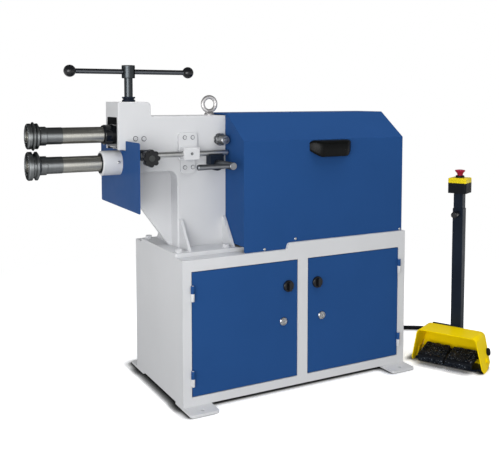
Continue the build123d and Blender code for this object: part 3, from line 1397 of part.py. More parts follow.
NODES = {
    "cabinet_shell": cabinet_shell(),
    "front_frame": front_frame(),
    "foot_plates": foot_plates(),
    "left_door": mirrored(right_door()),
    "right_door": right_door(),
    "left_door_latch": mirrored(right_latch()),
    "right_door_latch": right_latch(),
    "left_door_lock": mirrored(right_lock()),
    "right_door_lock": right_lock(),
    "control_box": control_box(),
    "hood": hood(),
    "hood_grip": hood_grip(),
    "machine_frame": casting(),
    "flange_bolts": flange_bolts(),
    "throat_shield": throat_shield(),
    "lower_bearing_housing": lower_housing(),
    "lower_bushes": lower_bushes(),
    "eye_bolt": eye_bolt(),
    "pivot_screws": pivot_screws(),
    "spindle_nut": spindle_nut(),
    "lower_shaft": shaft(LOWER_Z, COUPLING_X0 + COUPLING_L / 2),
    "lower_spacer": spacer(LOWER_Z),
    "lower_die": lower_die(),
    "lower_die_nut": die_nut(LOWER_Z),
    "lower_gear": gear(LOWER_Z, 0),
    "drive_coupling": drive_coupling(),
    "gear_motor": gear_motor(),
    "reducer_stand": reducer_stand(),
    "upper_bearing_block": upper_block(),
    "upper_pivot_housing": pivot_carrier(),
    "upper_bushes": upper_bushes(),
    "upper_shaft": shaft(UPPER_Z, GEAR_X0 + GEAR_W),
    "upper_spacer": spacer(UPPER_Z),
    "upper_die": upper_die(),
    "upper_die_nut": die_nut(UPPER_Z),
    "upper_gear": gear(UPPER_Z, 180 + 180 / GEAR_TEETH),
    "spindle_foot": spindle_foot(),
    "feed_spindle": spindle(),
    "handle_bar": handle_bar(),
    "handle_balls": handle_balls(),
    "gauge_bracket": gauge_bracket(),
    "gauge_rod": gauge_rod(),
    "gauge_end_block": gauge_end_block(),
    "gauge_knob": gauge_knob(),
    "gauge_clamp": gauge_clamp(),
    "gauge_finger": gauge_finger(),
    "pedal_base": pedal_base(),
    "pedal_guard": pedal_guard(),
    "guard_bolts": guard_bolts(),
    "left_tread": tread(-1),
    "right_tread": tread(1),
    "post_outer": post_outer(),
    "post_inner": post_inner(),
    "post_clamp_knob": clamp_knob(),
    "stop_box": stop_box(),
    "stop_lid": stop_lid(),
    "stop_button": stop_button(),
    "cable_glands": cable_glands(),
    "cable_coil": cable_coil(),
    "pedal_cable": pedal_cable(),
}

os.makedirs("parts", exist_ok=True)
for name, shape in NODES.items():
    export_step(shape, os.path.join("parts", name + ".step"))
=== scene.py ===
import json
import math

import bmesh
import bpy
from mathutils import Matrix, Vector, noise


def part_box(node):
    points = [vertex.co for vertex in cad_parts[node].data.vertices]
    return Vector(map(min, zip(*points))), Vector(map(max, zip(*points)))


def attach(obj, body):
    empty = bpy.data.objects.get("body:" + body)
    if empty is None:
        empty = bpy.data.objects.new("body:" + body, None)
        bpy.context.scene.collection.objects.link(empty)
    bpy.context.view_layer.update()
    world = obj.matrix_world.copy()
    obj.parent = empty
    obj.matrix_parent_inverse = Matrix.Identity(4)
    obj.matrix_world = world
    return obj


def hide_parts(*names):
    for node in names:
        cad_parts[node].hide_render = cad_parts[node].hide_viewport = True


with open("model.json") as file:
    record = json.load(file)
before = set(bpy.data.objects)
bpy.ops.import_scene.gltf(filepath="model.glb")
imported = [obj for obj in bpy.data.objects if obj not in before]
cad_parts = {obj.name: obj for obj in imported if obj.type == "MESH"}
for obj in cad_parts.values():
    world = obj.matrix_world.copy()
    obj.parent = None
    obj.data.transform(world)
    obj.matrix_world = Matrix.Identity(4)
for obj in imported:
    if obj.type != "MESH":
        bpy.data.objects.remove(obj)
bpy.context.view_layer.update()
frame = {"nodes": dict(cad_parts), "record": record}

# Looks for the electric bead roller. Metres, +Z up, the same frame as the solids.
nodes = frame["nodes"]
scene = bpy.context.scene

# Photograph's frame and camera
IMAGE_W = 499
IMAGE_H = 460
FOCAL_PX = 740.0
AXIS_ROW = 149.47
CAMERA_AT = (-1.5628, -2.7008, 1.1534)
CAMERA_TILT = 4.0
CAMERA_YAW = 28.332
SENSOR_MM = 36.0

# Cable: the route's points as in the part's source
CABLE_D = 0.016
CABLE_TURNS = 3
CABLE_STEP = 0.0167
CABLE_LEAD = 0.033
PEDAL_LEAD = 0.046
COIL_MEAN = 0.088
COIL_AT = (0.660, 0.107)
COIL_TURN = 75.0
COIL_STEPS = 16
CABLE_EXIT = (0.560, 0.222, 0.026)
PEDAL_AT = (0.6718, -0.360)
PEDAL_TURN = -63.0
PEDAL_GLAND = (0.060, 0.155, 0.022)
GLAND_L = 0.042
CABLE_ROUTE = (
    (0.762, 0.174, 0.017), (0.820, 0.142, 0.008), (0.882, 0.108, 0.008), (0.938, 0.066, 0.008),
    (0.975, 0.008, 0.008), (0.993, -0.060, 0.008), (0.993, -0.130, 0.008), (0.980, -0.196, 0.008),
    (0.954, -0.252, 0.012),
)
TIE_TURN = 255.0
TIE_W = 0.005
TIE_T = 0.0012
TIE_GAP = 0.0008
TIE_STEPS = 48
TIE_SQUARE = 5

# Casting, gauge and pivots, as in the part's source
ARM_HALF = 0.076
BRACKET_FRONT = -0.088
GUIDE_FRONT = -0.132
LOWER_Z = 0.908
UPPER_Z = 1.015
SHAFT_R = 0.030
# Box of the head's hollow; the casting paint turns its inner faces near black as painted shade
HEAD_HOLLOW = ((-0.694, -0.250), (-0.0603, 0.0603), (0.9597, 1.0813))
HOUSING_END = -0.743
HOUSING_R = 0.0465
NOSE_END = -0.732
SWING = (-0.284, 0.990)
PIVOT_TIP = (0.042, 0.010)
CHEEK_IN = 0.060
PIVOT_END = 0.136
PIVOT_R = 0.017
PIVOT_NUT_R = 0.024
PIVOT_NUT_L = 0.022
KNOB_FACE = (-0.600, -0.1683, 0.932)
HOOD_HALF = 0.237
STOP_COLLAR_H = 0.010
MASK_CLEAR = 0.0002
GRIP_RIM = 0.008
GRIP_FOOT = 0.003
GRIP_REACH = 0.040
GRIP_END = 0.046
GRIP_DROP = 0.010
GRIP_RISE = 0.025
GRIP_WALL = 0.005
GRIP_ROOF = 0.004
GRIP_TOP = ((0, 0), (0.4, 0.001), (0.72, 0.005), (0.92, 0.011), (1, 0.019))
GRIP_FRONT = ((0.985, 0.026), (0.94, 0.010), (0.88, 0.002))
GRIP_INSIDE = ((1, 0.022), (0.5, 0.012), (0, 0.010))
GRIP_STEPS = 12
HOOD_SHEET = 0.0015

# Screws: places on the casting's head, the bracket and the hood
HEAD_SCREWS = ((-0.630, 1.001), (-0.597, 1.000))
BRACKET_SCREWS = ((-0.436, 1.001), (-0.403, 1.001), (-0.436, 0.886), (-0.403, 0.886))
GUIDE_SCREW = (-0.425, 0.941)
NIPPLE_AT = (-0.686, 6.0)
HOOD_SCREWS = ((-0.168, 0.568), (-0.028, 0.597), (0.497, 0.592))
HEAD_SCREW_D = 0.0145
BRACKET_SCREW_D = 0.0125
GUIDE_SCREW_D = 0.008
HOOD_SCREW_D = 0.011
LOWER_SEAL_R = 0.0385
UPPER_SEAL_R = 0.0352

# Treads, in the pedal's own axes
TREAD_W = 0.116
TREAD_GAP = 0.005
TREAD_FRONT = (-0.052, 0.044)
TREAD_HEEL = (0.057, 0.060)
TREAD_ROUND = 0.006
PAD_IN = 0.002
PAD_T = 0.0024
PAD_HEEL = 0.015
PAD_LIP = 0.018
PAD_PEBBLE = 0.0018

# Pedal's base and guard, in the pedal's own axes
BASE_T = 0.006
BASE_HALF = 0.1255
BASE_FRONT = -0.006
BASE_TAIL = 0.084
BASE_BACK = 0.160
TAIL_ROUND = 0.015
EAR = (0.010, 0.074)
EAR_IN = 0.008
BOSS_W = 0.040
BOSS = (0.091, 0.155)
LUG_T = 0.006
LUG_GAP = 0.001
PIN = (0.068, 0.042)
BARREL_R = 0.011
GUARD_FOOT = 0.320
GUARD_TOP = 0.256
GUARD_H = 0.148
GUARD_T = 0.004
GUARD_BEND = 0.022
GUARD_BACK = 0.087
GUARD_LEAN = (GUARD_FOOT - GUARD_TOP) / 2 / GUARD_H
TAB = (0.030, 0.064)
TAB_H = 0.056
LINER_LOW = 0.024
LINER_PROUD = 0.0004
LEG_WEB = ((0.043, 0.016), (0.0865, 0.073), (0.0865, 0.020), (0.060, 0.008))
CAP_AT = (0.076, 0.068)
CAP_R = 0.016
CAP_L = 0.010


def srgb(red, green, blue):
    """Scene-linear colour of an 8-bit display colour."""
    def linear(value):
        share = value / 255
        return share / 12.92 if share <= 0.04045 else ((share + 0.055) / 1.055) ** 2.4

    return (linear(red), linear(green), linear(blue), 1.0)


def shade(colour, factor):
    return tuple(min(channel * factor, 1.0) for channel in colour[:3]) + (1.0,)


class Finish:
    """A principled material, with short ways to add nodes in object space."""

    def __init__(self, name, **sockets):
        self.material = bpy.data.materials.new(name)
        self.material.use_nodes = True
        self.tree = self.material.node_tree
        self.bsdf = self.tree.nodes["Principled BSDF"]
        self.place = self.add("ShaderNodeTexCoord").outputs["Object"]
        for socket, value in sockets.items():
            self.feed(self.bsdf.inputs[socket.replace("_", " ")], value)

    def feed(self, socket, value):
        if isinstance(value, bpy.types.NodeSocket):
            self.tree.links.new(value, socket)
        else:
            socket.default_value = value

    def add(self, kind, inputs=(), **settings):
        node = self.tree.nodes.new(kind)
        for key, value in settings.items():
            setattr(node, key, value)
        for key, value in dict(inputs).items():
            self.feed(node.inputs[key], value)
        return node

    def stretched(self, scale):
        """Object coordinates scaled along each axis."""
        return self.add("ShaderNodeMapping", {"Vector": self.place, "Scale": scale}).outputs["Vector"]

    def noise(self, scale, detail=3.0, rough=0.5, place=None):
        inputs = {"Vector": place or self.place, "Scale": scale, "Detail": detail, "Roughness": rough}
        return self.add("ShaderNodeTexNoise", inputs).outputs["Fac"]

    def spread(self, value, low, high, to_low=0.0, to_high=1.0):
        inputs = {
            "Value": value, "From Min": low, "From Max": high, "To Min": to_low, "To Max": to_high,
        }
        return self.add("ShaderNodeMapRange", inputs).outputs["Result"]

    def maths(self, operation, first, second):
        return self.add("ShaderNodeMath", {0: first, 1: second}, operation=operation).outputs["Value"]

    def mix(self, factor, first, second):
        node = self.add("ShaderNodeMix", data_type="RGBA")
        for index, value in ((0, factor), (6, first), (7, second)):
            self.feed(node.inputs[index], value)
        return node.outputs[2]

    def colour(self, value):
        self.feed(self.bsdf.inputs["Base Color"], value)

    def roughness(self, value):
        self.feed(self.bsdf.inputs["Roughness"], value)

    def relief(self, height, strength, distance, under=None):
        inputs = {"Height": height, "Strength": strength, "Distance": distance}
        if under is not None:
            inputs["Normal"] = under
        normal = self.add("ShaderNodeBump", inputs).outputs["Normal"]
        self.feed(self.bsdf.inputs["Normal"], normal)
        return normal


EDGE_TINT = (0.0, 0.0, 0.0, 1.0)
QUARTER_TURN = 0.25


def powder_coat(name, colour, rough=0.42, peel=0.10, drift=0.03, grain=420.0, shine=0.3):
    """Baked paint: slow colour drift, fine speckle, uneven gloss and orange peel."""
    finish = Finish(name, Specular_IOR_Level=shine)
    drift_mask = finish.noise(2.3, 4.0)
    speckle = finish.noise(grain * 1.7, 2.0, 0.6)
    mask = finish.spread(drift_mask, 0.3, 0.7)
    base = finish.mix(mask, shade(colour, 1 - drift), shade(colour, 1 + drift))
    finish.colour(finish.mix(finish.spread(speckle, 0.62, 0.85, 0.0, 0.25), base, shade(colour, 0.86)))
    finish.roughness(finish.spread(finish.noise(11.0, 5.0), 0.3, 0.7, rough - 0.05, rough + 0.06))
    finish.relief(finish.noise(grain, 2.0), peel, 0.0004)
    return finish.material


def cast_paint(name, colour, shade_box=None):
    """Brushed filler paint on cast iron: soft waves under a fine skin, and painted shade, near black, on the
    faces inside a hollow's box.
    """
    finish = Finish(name, Specular_IOR_Level=0.3)
    mask = finish.spread(finish.noise(3.1, 5.0), 0.3, 0.7)
    base = finish.mix(mask, shade(colour, 0.965), shade(colour, 1.03))
    speckle = finish.spread(finish.noise(520.0, 2.0), 0.6, 0.85, 0.0, 0.2)
    painted = finish.mix(speckle, base, shade(colour, 0.84))
    if shade_box:
        split = finish.add("ShaderNodeSeparateXYZ", {"Vector": finish.place})
        inside = 1.0
        for axis, (low, high) in zip("XYZ", shade_box):
            above = finish.maths("GREATER_THAN", split.outputs[axis], low)
            below = finish.maths("LESS_THAN", split.outputs[axis], high)
            inside = finish.maths("MULTIPLY", finish.maths("MULTIPLY", above, below), inside)
        # Painted shade: faces inside the box turn near black, like the shade deep in the hollow
        painted = finish.mix(inside, painted, finish.mix(mask, HOLLOW_SHADE_DARK, HOLLOW_SHADE_LIGHT))
    finish.colour(painted)
    finish.roughness(finish.spread(finish.noise(16.0, 5.0), 0.3, 0.7, 0.33, 0.46))
    waves = finish.relief(finish.noise(26.0, 3.0), 0.20, 0.0012)
    finish.relief(finish.noise(380.0, 2.0), 0.14, 0.0004, waves)
    return finish.material


def turned_metal(name, colour, axis, rough, tint=None, rings=0.05, blotch=0.05, brushed=0.8):
    """Turned or ground steel: fine rings round the axis, oil film and faint stains."""
    finish = Finish(
        name, Metallic=1.0, Specular_Tint=EDGE_TINT, Anisotropic=brushed, Anisotropic_Rotation=QUARTER_TURN
    )
    around = finish.add("ShaderNodeTangent", direction_type="RADIAL", axis="XYZ"[axis])
    finish.feed(finish.bsdf.inputs["Tangent"], around.outputs["Tangent"])
    fine = [14.0, 14.0, 14.0]
    fine[axis] = 1500.0
    coarse = [4.0, 4.0, 4.0]
    coarse[axis] = 260.0
    ring = finish.noise(1.0, 2.0, 0.6, finish.stretched(fine))
    band = finish.noise(1.0, 3.0, 0.5, finish.stretched(coarse))
    stain = finish.noise(38.0, 6.0, 0.62)
    base = finish.mix(finish.spread(band, 0.3, 0.7), shade(colour, 1 - rings), shade(colour, 1 + rings))
    stained = tint or shade(colour, 0.62)
    finish.colour(finish.mix(finish.spread(stain, 0.5, 0.78, 0.0, 4 * blotch), base, stained))
    finish.roughness(finish.spread(ring, 0.25, 0.75, rough - 0.05, rough + 0.09))
    finish.relief(ring, 0.12, 0.00012)
    return finish.material


def plated_metal(name, colour, rough):
    """Plated or cast bright metal without a direction."""
    finish = Finish(name, Metallic=1.0, Specular_Tint=EDGE_TINT)
    cloud = finish.noise(60.0, 5.0)
    finish.colour(finish.mix(finish.spread(cloud, 0.3, 0.7), shade(colour, 0.86), shade(colour, 1.06)))
    finish.roughness(finish.spread(finish.noise(130.0, 4.0), 0.3, 0.7, rough - 0.05, rough + 0.1))
    finish.relief(finish.noise(900.0, 2.0), 0.08, 0.0002)
    return finish.material


def moulded(name, colour, rough, grain=700.0, relief=0.10, spec=0.10, black_above=None):
    """Moulded plastic or rubber: fine spark grain, worn gloss and dust in the low spots."""
    finish = Finish(name, Specular_IOR_Level=spec)
    cloud = finish.noise(24.0, 5.0)
    skin = finish.noise(grain, 3.0)
    base = finish.mix(finish.spread(cloud, 0.3, 0.7), shade(colour, 0.88), shade(colour, 1.12))
    dusted = finish.mix(finish.spread(skin, 0.6, 0.85, 0.0, 0.3), base, shade(colour, 1.5))
    if black_above:
        height = finish.add("ShaderNodeSeparateXYZ", {"Vector": finish.place}).outputs["Z"]
        dusted = finish.mix(finish.maths("GREATER_THAN", height, black_above), dusted, BLACK)
    finish.colour(dusted)
    finish.roughness(finish.spread(finish.noise(45.0, 5.0), 0.3, 0.7, rough - 0.06, rough + 0.08))
    finish.relief(skin, relief, 0.0003)
    return finish.material


def pebbled(name, colour, glint_colour):
    """Creased black rubber with light specks on its high spots, painted glints."""
    finish = Finish(name, Specular_IOR_Level=0.03)
    cloud = finish.noise(30.0, 5.0)
    speck = finish.noise(170.0, 4.0, 0.65)
    base = finish.mix(finish.spread(cloud, 0.3, 0.7), shade(colour, 0.6), shade(colour, 1.5))
    # Painted glints: light specks mixed into the rubber's colour
    finish.colour(finish.mix(finish.spread(speck, 0.57, 0.68, 0.0, 0.8), base, glint_colour))
    finish.roughness(finish.spread(cloud, 0.3, 0.7, 0.25, 0.45))
    creases = finish.relief(finish.noise(70.0, 4.0, 0.6), 0.5, 0.003)
    finish.relief(speck, 0.3, 0.0008, creases)
    return finish.material


def gloss_coat(name, colour, rough, weight, ior=1.2):
    """Gloss enamel: colour under a clear coat with faint waves."""
    finish = Finish(name, Coat_Weight=weight, Coat_Roughness=0.12, Coat_IOR=ior, Specular_IOR_Level=0.06)
    cloud = finish.noise(9.0, 5.0)
    base = finish.mix(finish.spread(cloud, 0.3, 0.7), shade(colour, 0.85), shade(colour, 1.18))
    dust = finish.spread(finish.noise(310.0, 3.0), 0.64, 0.85, 0.0, 0.35)
    finish.colour(finish.mix(dust, base, shade(colour, 1.7)))
    finish.roughness(finish.spread(finish.noise(22.0, 4.0), 0.3, 0.7, rough - 0.05, rough + 0.08))
    waves = finish.relief(finish.noise(40.0, 2.0), 0.05, 0.0008)
    finish.relief(finish.noise(500.0, 2.0), 0.05, 0.0003, waves)
    return finish.material


LIGHT_GREY = srgb(208, 209, 211)
CAST_GREY = srgb(208, 209, 211)
BLUE = srgb(38, 76, 130)
YELLOW = srgb(250, 218, 6)
LID_YELLOW = srgb(232, 208, 24)
STEEL = srgb(190, 189, 182)
DARK_STEEL = srgb(138, 141, 142)
OILED_STEEL = srgb(112, 114, 110)
BLACK = srgb(24, 26, 30)
BLUE_BLACK = srgb(24, 32, 44)
# Painted shade for the inside of the head's hollow, in two near-black tones
HOLLOW_SHADE_DARK = srgb(22, 23, 26)
HOLLOW_SHADE_LIGHT = srgb(46, 47, 50)

FINISHES = {
    "cabinet_paint": powder_coat("cabinet_paint", LIGHT_GREY),
    "blue_paint": powder_coat("blue_paint", BLUE, rough=0.40, drift=0.05, shine=0.02),
    "casting_paint": cast_paint("casting_paint", CAST_GREY, HEAD_HOLLOW),
    "bright_steel": turned_metal("bright_steel", STEEL, 0, 0.30, srgb(170, 166, 150)),
    "dark_steel": turned_metal("dark_steel", DARK_STEEL, 0, 0.38, OILED_STEEL),
    "zinc_steel": plated_metal("zinc_steel", srgb(205, 206, 208), 0.24),
    "bronze": turned_metal("bronze", srgb(190, 150, 90), 0, 0.3),
    "black_plastic": moulded("black_plastic", BLACK, 0.42, spec=0.05),
    "gloss_black": moulded("gloss_black", srgb(18, 19, 22), 0.14, relief=0.03, spec=0.4),
    "black_paint": gloss_coat("black_paint", BLUE_BLACK, 0.34, 0.06),
    "yellow_paint": powder_coat("yellow_paint", YELLOW, rough=0.36, drift=0.04, shine=0.03),
    "yellow_plastic": moulded("yellow_plastic", LID_YELLOW, 0.32, relief=0.05),
    "red_plastic": moulded("red_plastic", srgb(158, 34, 62), 0.28, relief=0.04),
    "cable_rubber": moulded("cable_rubber", srgb(26, 27, 30), 0.45, grain=420.0),
    "motor_alloy": cast_paint("motor_alloy", srgb(120, 128, 138)),
    "grey_plastic": moulded("grey_plastic", srgb(168, 170, 172), 0.45),
}
OWN_FINISHES = {
    "feed_spindle": turned_metal("spindle_steel", srgb(70, 74, 77), 2, 0.24, srgb(50, 50, 50), brushed=0.0),
    "handle_bar": turned_metal("bar_steel", srgb(96, 99, 104), 0, 0.30, srgb(76, 76, 76)),
    "gauge_rod": turned_metal("rod_steel", srgb(204, 205, 204), 0, 0.36, srgb(160, 160, 154), brushed=0.3),
    "gauge_finger": plated_metal("finger_steel", srgb(146, 149, 154), 0.36),
    "eye_bolt": plated_metal("forged_steel", srgb(224, 222, 222), 0.5),
    "gauge_knob": moulded("knob_plastic", srgb(28, 29, 31), 0.20, relief=0.05, spec=0.3),
    "upper_bearing_block": gloss_coat("block_enamel", srgb(14, 16, 20), 0.22, 0.8, 1.45),
}
LID_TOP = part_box("stop_lid")[1][2] - STOP_COLLAR_H + MASK_CLEAR
OWN_FINISHES["stop_lid"] = moulded("lid_plastic", LID_YELLOW, 0.32, relief=0.05, black_above=LID_TOP)
OWN_FINISHES["spindle_foot"] = OWN_FINISHES["feed_spindle"]
OWN_FINISHES["guard_bolts"] = FINISHES["yellow_paint"]

for row in frame["record"]["subparts"]:
    mesh = nodes[row["node"]].data
    mesh.materials.clear()
    mesh.materials.append(OWN_FINISHES.get(row["node"], FINISHES[row["material_slot"]]))


SOFT_EDGES = {
    "machine_frame": 0.002, "gauge_bracket": 0.0012, "cabinet_shell": 0.0012, "front_frame": 0.0008,
    "foot_plates": 0.001, "left_door": 0.0014, "right_door": 0.0014, "hood": 0.0014,
    "throat_shield": 0.0006, "pedal_guard": 0.001, "pedal_base": 0.001, "stop_box": 0.001,
    "gauge_end_block": 0.0008, "gauge_clamp": 0.0008,
}


def soften(node, width, segments=2, angle=40.0):
    """Rounds a solid's sharp edges without touching its mesh."""
    piece = nodes[node]
    weld = piece.modifiers.new("weld", "WELD")
    weld.merge_threshold = 0.00002
    flats = piece.modifiers.new("flats", "DECIMATE")
    flats.decimate_type = "DISSOLVE"
    flats.angle_limit = math.radians(0.3)
    bevel = piece.modifiers.new("round", "BEVEL")
    bevel.width = width
    bevel.segments = segments
    bevel.limit_method = "ANGLE"
    bevel.angle_limit = math.radians(angle)
    bevel.harden_normals = True


for node, width in SOFT_EDGES.items():
    soften(node, width)


# Meshes of the scene's own pieces
def ring_mesh(name, rings, loop=False):
    """Mesh of rings of points, one after the other, closed at both ends or in a loop."""
    count = len(rings[0])
    faces = []
    for row in range(len(rings) if loop else len(rings) - 1):
        low = row * count
        high = (row + 1) % len(rings) * count
        for i in range(count):
            j = (i + 1) % count
            faces.append((low + i, low + j, high + j, high + i))
    if not loop:
        last = (len(rings) - 1) * count
        faces += [tuple(reversed(range(count))), tuple(range(last, last + count))]
    mesh = bpy.data.meshes.new(name)
    mesh.from_pydata([point for ring in rings for point in ring], [], faces)
    return mesh


def turned(name, profile, at, axis, sides=36, loop=False):
    """Mesh turned round an axis from (height, radius) pairs; a radius may depend on the angle."""
    axis = Vector(axis).normalized()
    u = axis.orthogonal().normalized()
    v = axis.cross(u)
    rings = []
    for height, radius in profile:
        ring = []
        for step in range(sides):
            angle = 2 * math.pi * step / sides
            r = radius(angle) if callable(radius) else radius
            ring.append(Vector(at) + axis * height + (u * math.cos(angle) + v * math.sin(angle)) * r)
        rings.append(ring)
    return ring_mesh(name, rings, loop)


def hexagon(across):
    """Radius of a hexagon by angle."""
    sixth = math.pi / 3
    return lambda angle: across / 2 / math.cos((angle + sixth / 2) % sixth - sixth / 2)


def piece(mesh, body, slot, material=None, crease=35.0):
    thing = bpy.data.objects.new(mesh.name, mesh)
    scene.collection.objects.link(thing)
    mesh.materials.append(material or FINISHES[slot])
    mesh.polygons.foreach_set("use_smooth", [True] * len(mesh.polygons))
    mesh.set_sharp_from_angle(angle=math.radians(crease))
    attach(thing, body)
    return thing


# Cable
def pedal_place(u, v, z):
    turn = Matrix.Rotation(math.radians(PEDAL_TURN), 3, "Z")
    return Vector((PEDAL_AT[0], PEDAL_AT[1], 0)) + turn @ Vector((u, v, z))


def coil_point(turn):
    """A point of the coil, and its direction, after so many turns."""
    half = CABLE_TURNS / 2
    off = turn - half
    r = COIL_MEAN + CABLE_STEP * (abs(off) - half / 2)
    climb = min(max(off * 2 + 0.5, 0), 1)
    z = CABLE_D / 2 + CABLE_STEP * (3 * climb ** 2 - 2 * climb ** 3)
    angle = math.radians(COIL_TURN) - 2 * math.pi * turn
    out = Vector((math.cos(angle), math.sin(angle), 0))
    along = Vector((math.sin(angle), -math.cos(angle), 0))
    spread = CABLE_STEP * ((off > 0) - (off < 0))
    ahead = along * (2 * math.pi * r) + out * spread
    return Vector((*COIL_AT, z)) + out * r, ahead.normalized()


def cable_points():
    """Control points from the cabinet's gland through the coil to the pedal's gland."""
    start, ahead = coil_point(0)
    first = start - ahead * CABLE_D
    points = [Vector(CABLE_EXIT), Vector(CABLE_EXIT) + Vector((CABLE_LEAD, 0, 0))]
    points += [first - ahead * CABLE_LEAD, first]
    steps = COIL_STEPS * CABLE_TURNS
    points += [coil_point(step / COIL_STEPS)[0] for step in range(steps + 1)]
    end, ahead = coil_point(CABLE_TURNS)
    last = end + ahead * CABLE_D
    points += [last, last + ahead * CABLE_LEAD]
    points += [Vector(point) for point in CABLE_ROUTE]
    back = pedal_place(0, 1, 0) - pedal_place(0, 0, 0)
    gland = pedal_place(*PEDAL_GLAND) + back * GLAND_L
    return points + [gland + back * PEDAL_LEAD, gland]


def make_cable():
    curve = bpy.data.curves.new("cable", "CURVE")
    curve.dimensions = "3D"
    curve.bevel_depth = CABLE_D / 2
    curve.bevel_resolution = 6
    curve.resolution_u = 8
    spline = curve.splines.new("NURBS")
    points = cable_points()
    spline.points.add(len(points) - 1)
    for knot, point in zip(spline.points, points):
        knot.co = (*point, 1)
    spline.order_u = 3
    spline.use_endpoint_u = True
    cable = bpy.data.objects.new("cable", curve)
    scene.collection.objects.link(cable)
    cable.data.materials.append(FINISHES["cable_rubber"])
    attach(cable, "machine")
    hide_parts("pedal_cable", "cable_coil")
    return cable


def make_tie():
    """Strap round the coil's turns."""
    angle = math.radians(TIE_TURN)
    out = Vector((math.cos(angle), math.sin(angle), 0))
    along = Vector((-math.sin(angle), math.cos(angle), 0))
    half_w = CABLE_STEP * CABLE_TURNS / 4 + CABLE_D / 2 + TIE_GAP
    top = CABLE_D + CABLE_STEP + TIE_GAP
    middle = Vector((*COIL_AT, top / 2)) + out * COIL_MEAN
    rings = []
    for step in range(TIE_STEPS):
        turn = 2 * math.pi * step / TIE_STEPS
        c, s = math.cos(turn), math.sin(turn)
        bulge = (abs(c) ** TIE_SQUARE + abs(s) ** TIE_SQUARE) ** (-1 / TIE_SQUARE)
        spot = middle + out * half_w * c * bulge + Vector((0, 0, top / 2 * s * bulge))
        normal = (out * c / half_w + Vector((0, 0, s / (top / 2)))).normalized()
        edges = ((-1, 0), (1, 0), (1, 1), (-1, 1))
        rings.append([spot + along * (TIE_W / 2 * i) + normal * (TIE_T * j) for i, j in edges])
    return piece(ring_mesh("cable_tie", rings, loop=True), "machine", "black_plastic")


cable = make_cable()
tie = make_tie()


# Small fasteners and trim
SINK = 0.0005
# Grey ring under each screw head: painted shade standing for the dark gap of a counterbore
COUNTERBORE_SHADE_GREY = moulded("counterbore_shade_grey", srgb(92, 95, 98), 0.4)


def socket_screw(name, at, axis, head, slot="casting_paint"):
    """Round screw head with a hexagon socket on a grey ring of painted shade that stands for a counterbore's
    gap, on the surface at a point.
    """
    r = head / 2
    rise = 0.003
    step = 0.0005
    key = hexagon(r * 0.8)
    profile = [(-SINK, r), (rise - step, r), (rise, r - step), (rise, key), (step, key)]
    # Ring of painted shade round the head, for the counterbore's gap
    shade_ring = [(-SINK, r * 0.9), (step * 2, r * 0.9), (step * 2, r * 1.3), (step, r * 1.36), (-SINK, r * 1.36)]
    piece(turned(name + "_counterbore_shade", shade_ring, at, axis, loop=True), "machine", "dark_steel", COUNTERBORE_SHADE_GREY)
    return piece(turned(name, profile, at, axis), "machine", slot)


def pan_screw(name, at, axis, head):
    """Low round screw head with a cross recess."""
    r = head / 2

    def cross(angle):
        return r * (0.16 + 0.36 * abs(math.cos(2 * angle)) ** 6)

    profile = [(-SINK, r), (0.1 * head, r), (0.2 * head, 0.82 * r), (0.26 * head, cross), (0.1 * head, cross)]
    return piece(turned(name, profile, at, axis, 48), "machine", "zinc_steel")


def seal(name, x, z, outer, body):
    """Lip seal round a shaft, facing the dies."""
    low = 0.0007
    lip = 0.0024
    profile = [
        (-SINK, SHAFT_R + 0.0004), (lip, SHAFT_R + 0.0004), (lip, SHAFT_R + 0.0012), (low, SHAFT_R + 0.0018),
        (low, outer - 0.0016), (lip * 0.7, outer - 0.001), (lip * 0.7, outer), (-SINK, outer),
    ]
    return piece(turned(name, profile, (x, 0, z), (-1, 0, 0), 64, loop=True), body, "black_plastic")


def slotted(r, depth, count):
    """Radius by angle of a round nut with slots in its rim."""
    return lambda angle: r - depth * ((angle * count / (2 * math.pi)) % 1 < 0.27)


def pivot(side):
    """Pivot screw with a ringed end, and its slotted lock nut."""
    name = "front" if side < 0 else "back"
    at = (SWING[0], 0, SWING[1])
    axis = (0, side, 0)
    tip, tip_r = PIVOT_TIP
    r = PIVOT_R
    end = PIVOT_END
    step = 0.0015
    screw = turned(name + "_pivot_screw", [
        (tip, tip_r), (CHEEK_IN, tip_r), (CHEEK_IN, r), (end - step, r), (end, r - step), (end, 0.72 * r),
        (end - 2 * step, 0.66 * r), (end - 2 * step, 0.46 * r), (end + step, 0.42 * r),
        (end + 2 * step, 0.34 * r),
    ], at, axis, 48)
    base = ARM_HALF
    top = base + PIVOT_NUT_L
    profile = [(base - SINK, PIVOT_NUT_R - step), (base + step, PIVOT_NUT_R), (top - step, PIVOT_NUT_R),
               (top, PIVOT_NUT_R - step)]
    nut = turned(name + "_lock_nut", [
        (height, slotted(radius, 0.0032, 8)) for height, radius in profile
    ] + [(top, 0.8 * PIVOT_NUT_R), (top, r - SINK)], at, axis, 96)
    return piece(screw, "machine", "dark_steel", PIVOT_STEEL), piece(nut, "machine", "dark_steel", NUT_STEEL)


PIVOT_STEEL = plated_metal("pivot_steel", srgb(192, 193, 194), 0.3)
NUT_STEEL = plated_metal("nut_steel", srgb(146, 148, 150), 0.34)
for side in (-1, 1):
    screw, nut = pivot(side)
    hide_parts("pivot_screws")
    for i, (x, z) in enumerate(HEAD_SCREWS):
        socket_screw(f"head_screw_{i}_{side}", (x, side * ARM_HALF, z), (0, side, 0), HEAD_SCREW_D)
    for i, (x, z) in enumerate(HOOD_SCREWS):
        pan_screw(f"hood_screw_{i}_{side}", (x, side * HOOD_HALF, z), (0, side, 0), HOOD_SCREW_D)
for i, (x, z) in enumerate(BRACKET_SCREWS):
    socket_screw(f"bracket_screw_{i}", (x, BRACKET_FRONT, z), (0, -1, 0), BRACKET_SCREW_D)
guide_at = (GUIDE_SCREW[0], GUIDE_FRONT, GUIDE_SCREW[1])
socket_screw("guide_screw", guide_at, (0, -1, 0), GUIDE_SCREW_D, "dark_steel")
seal("lower_seal", HOUSING_END, LOWER_Z, LOWER_SEAL_R, "machine")
seal("upper_seal", NOSE_END, UPPER_Z, UPPER_SEAL_R, "upper_carrier")


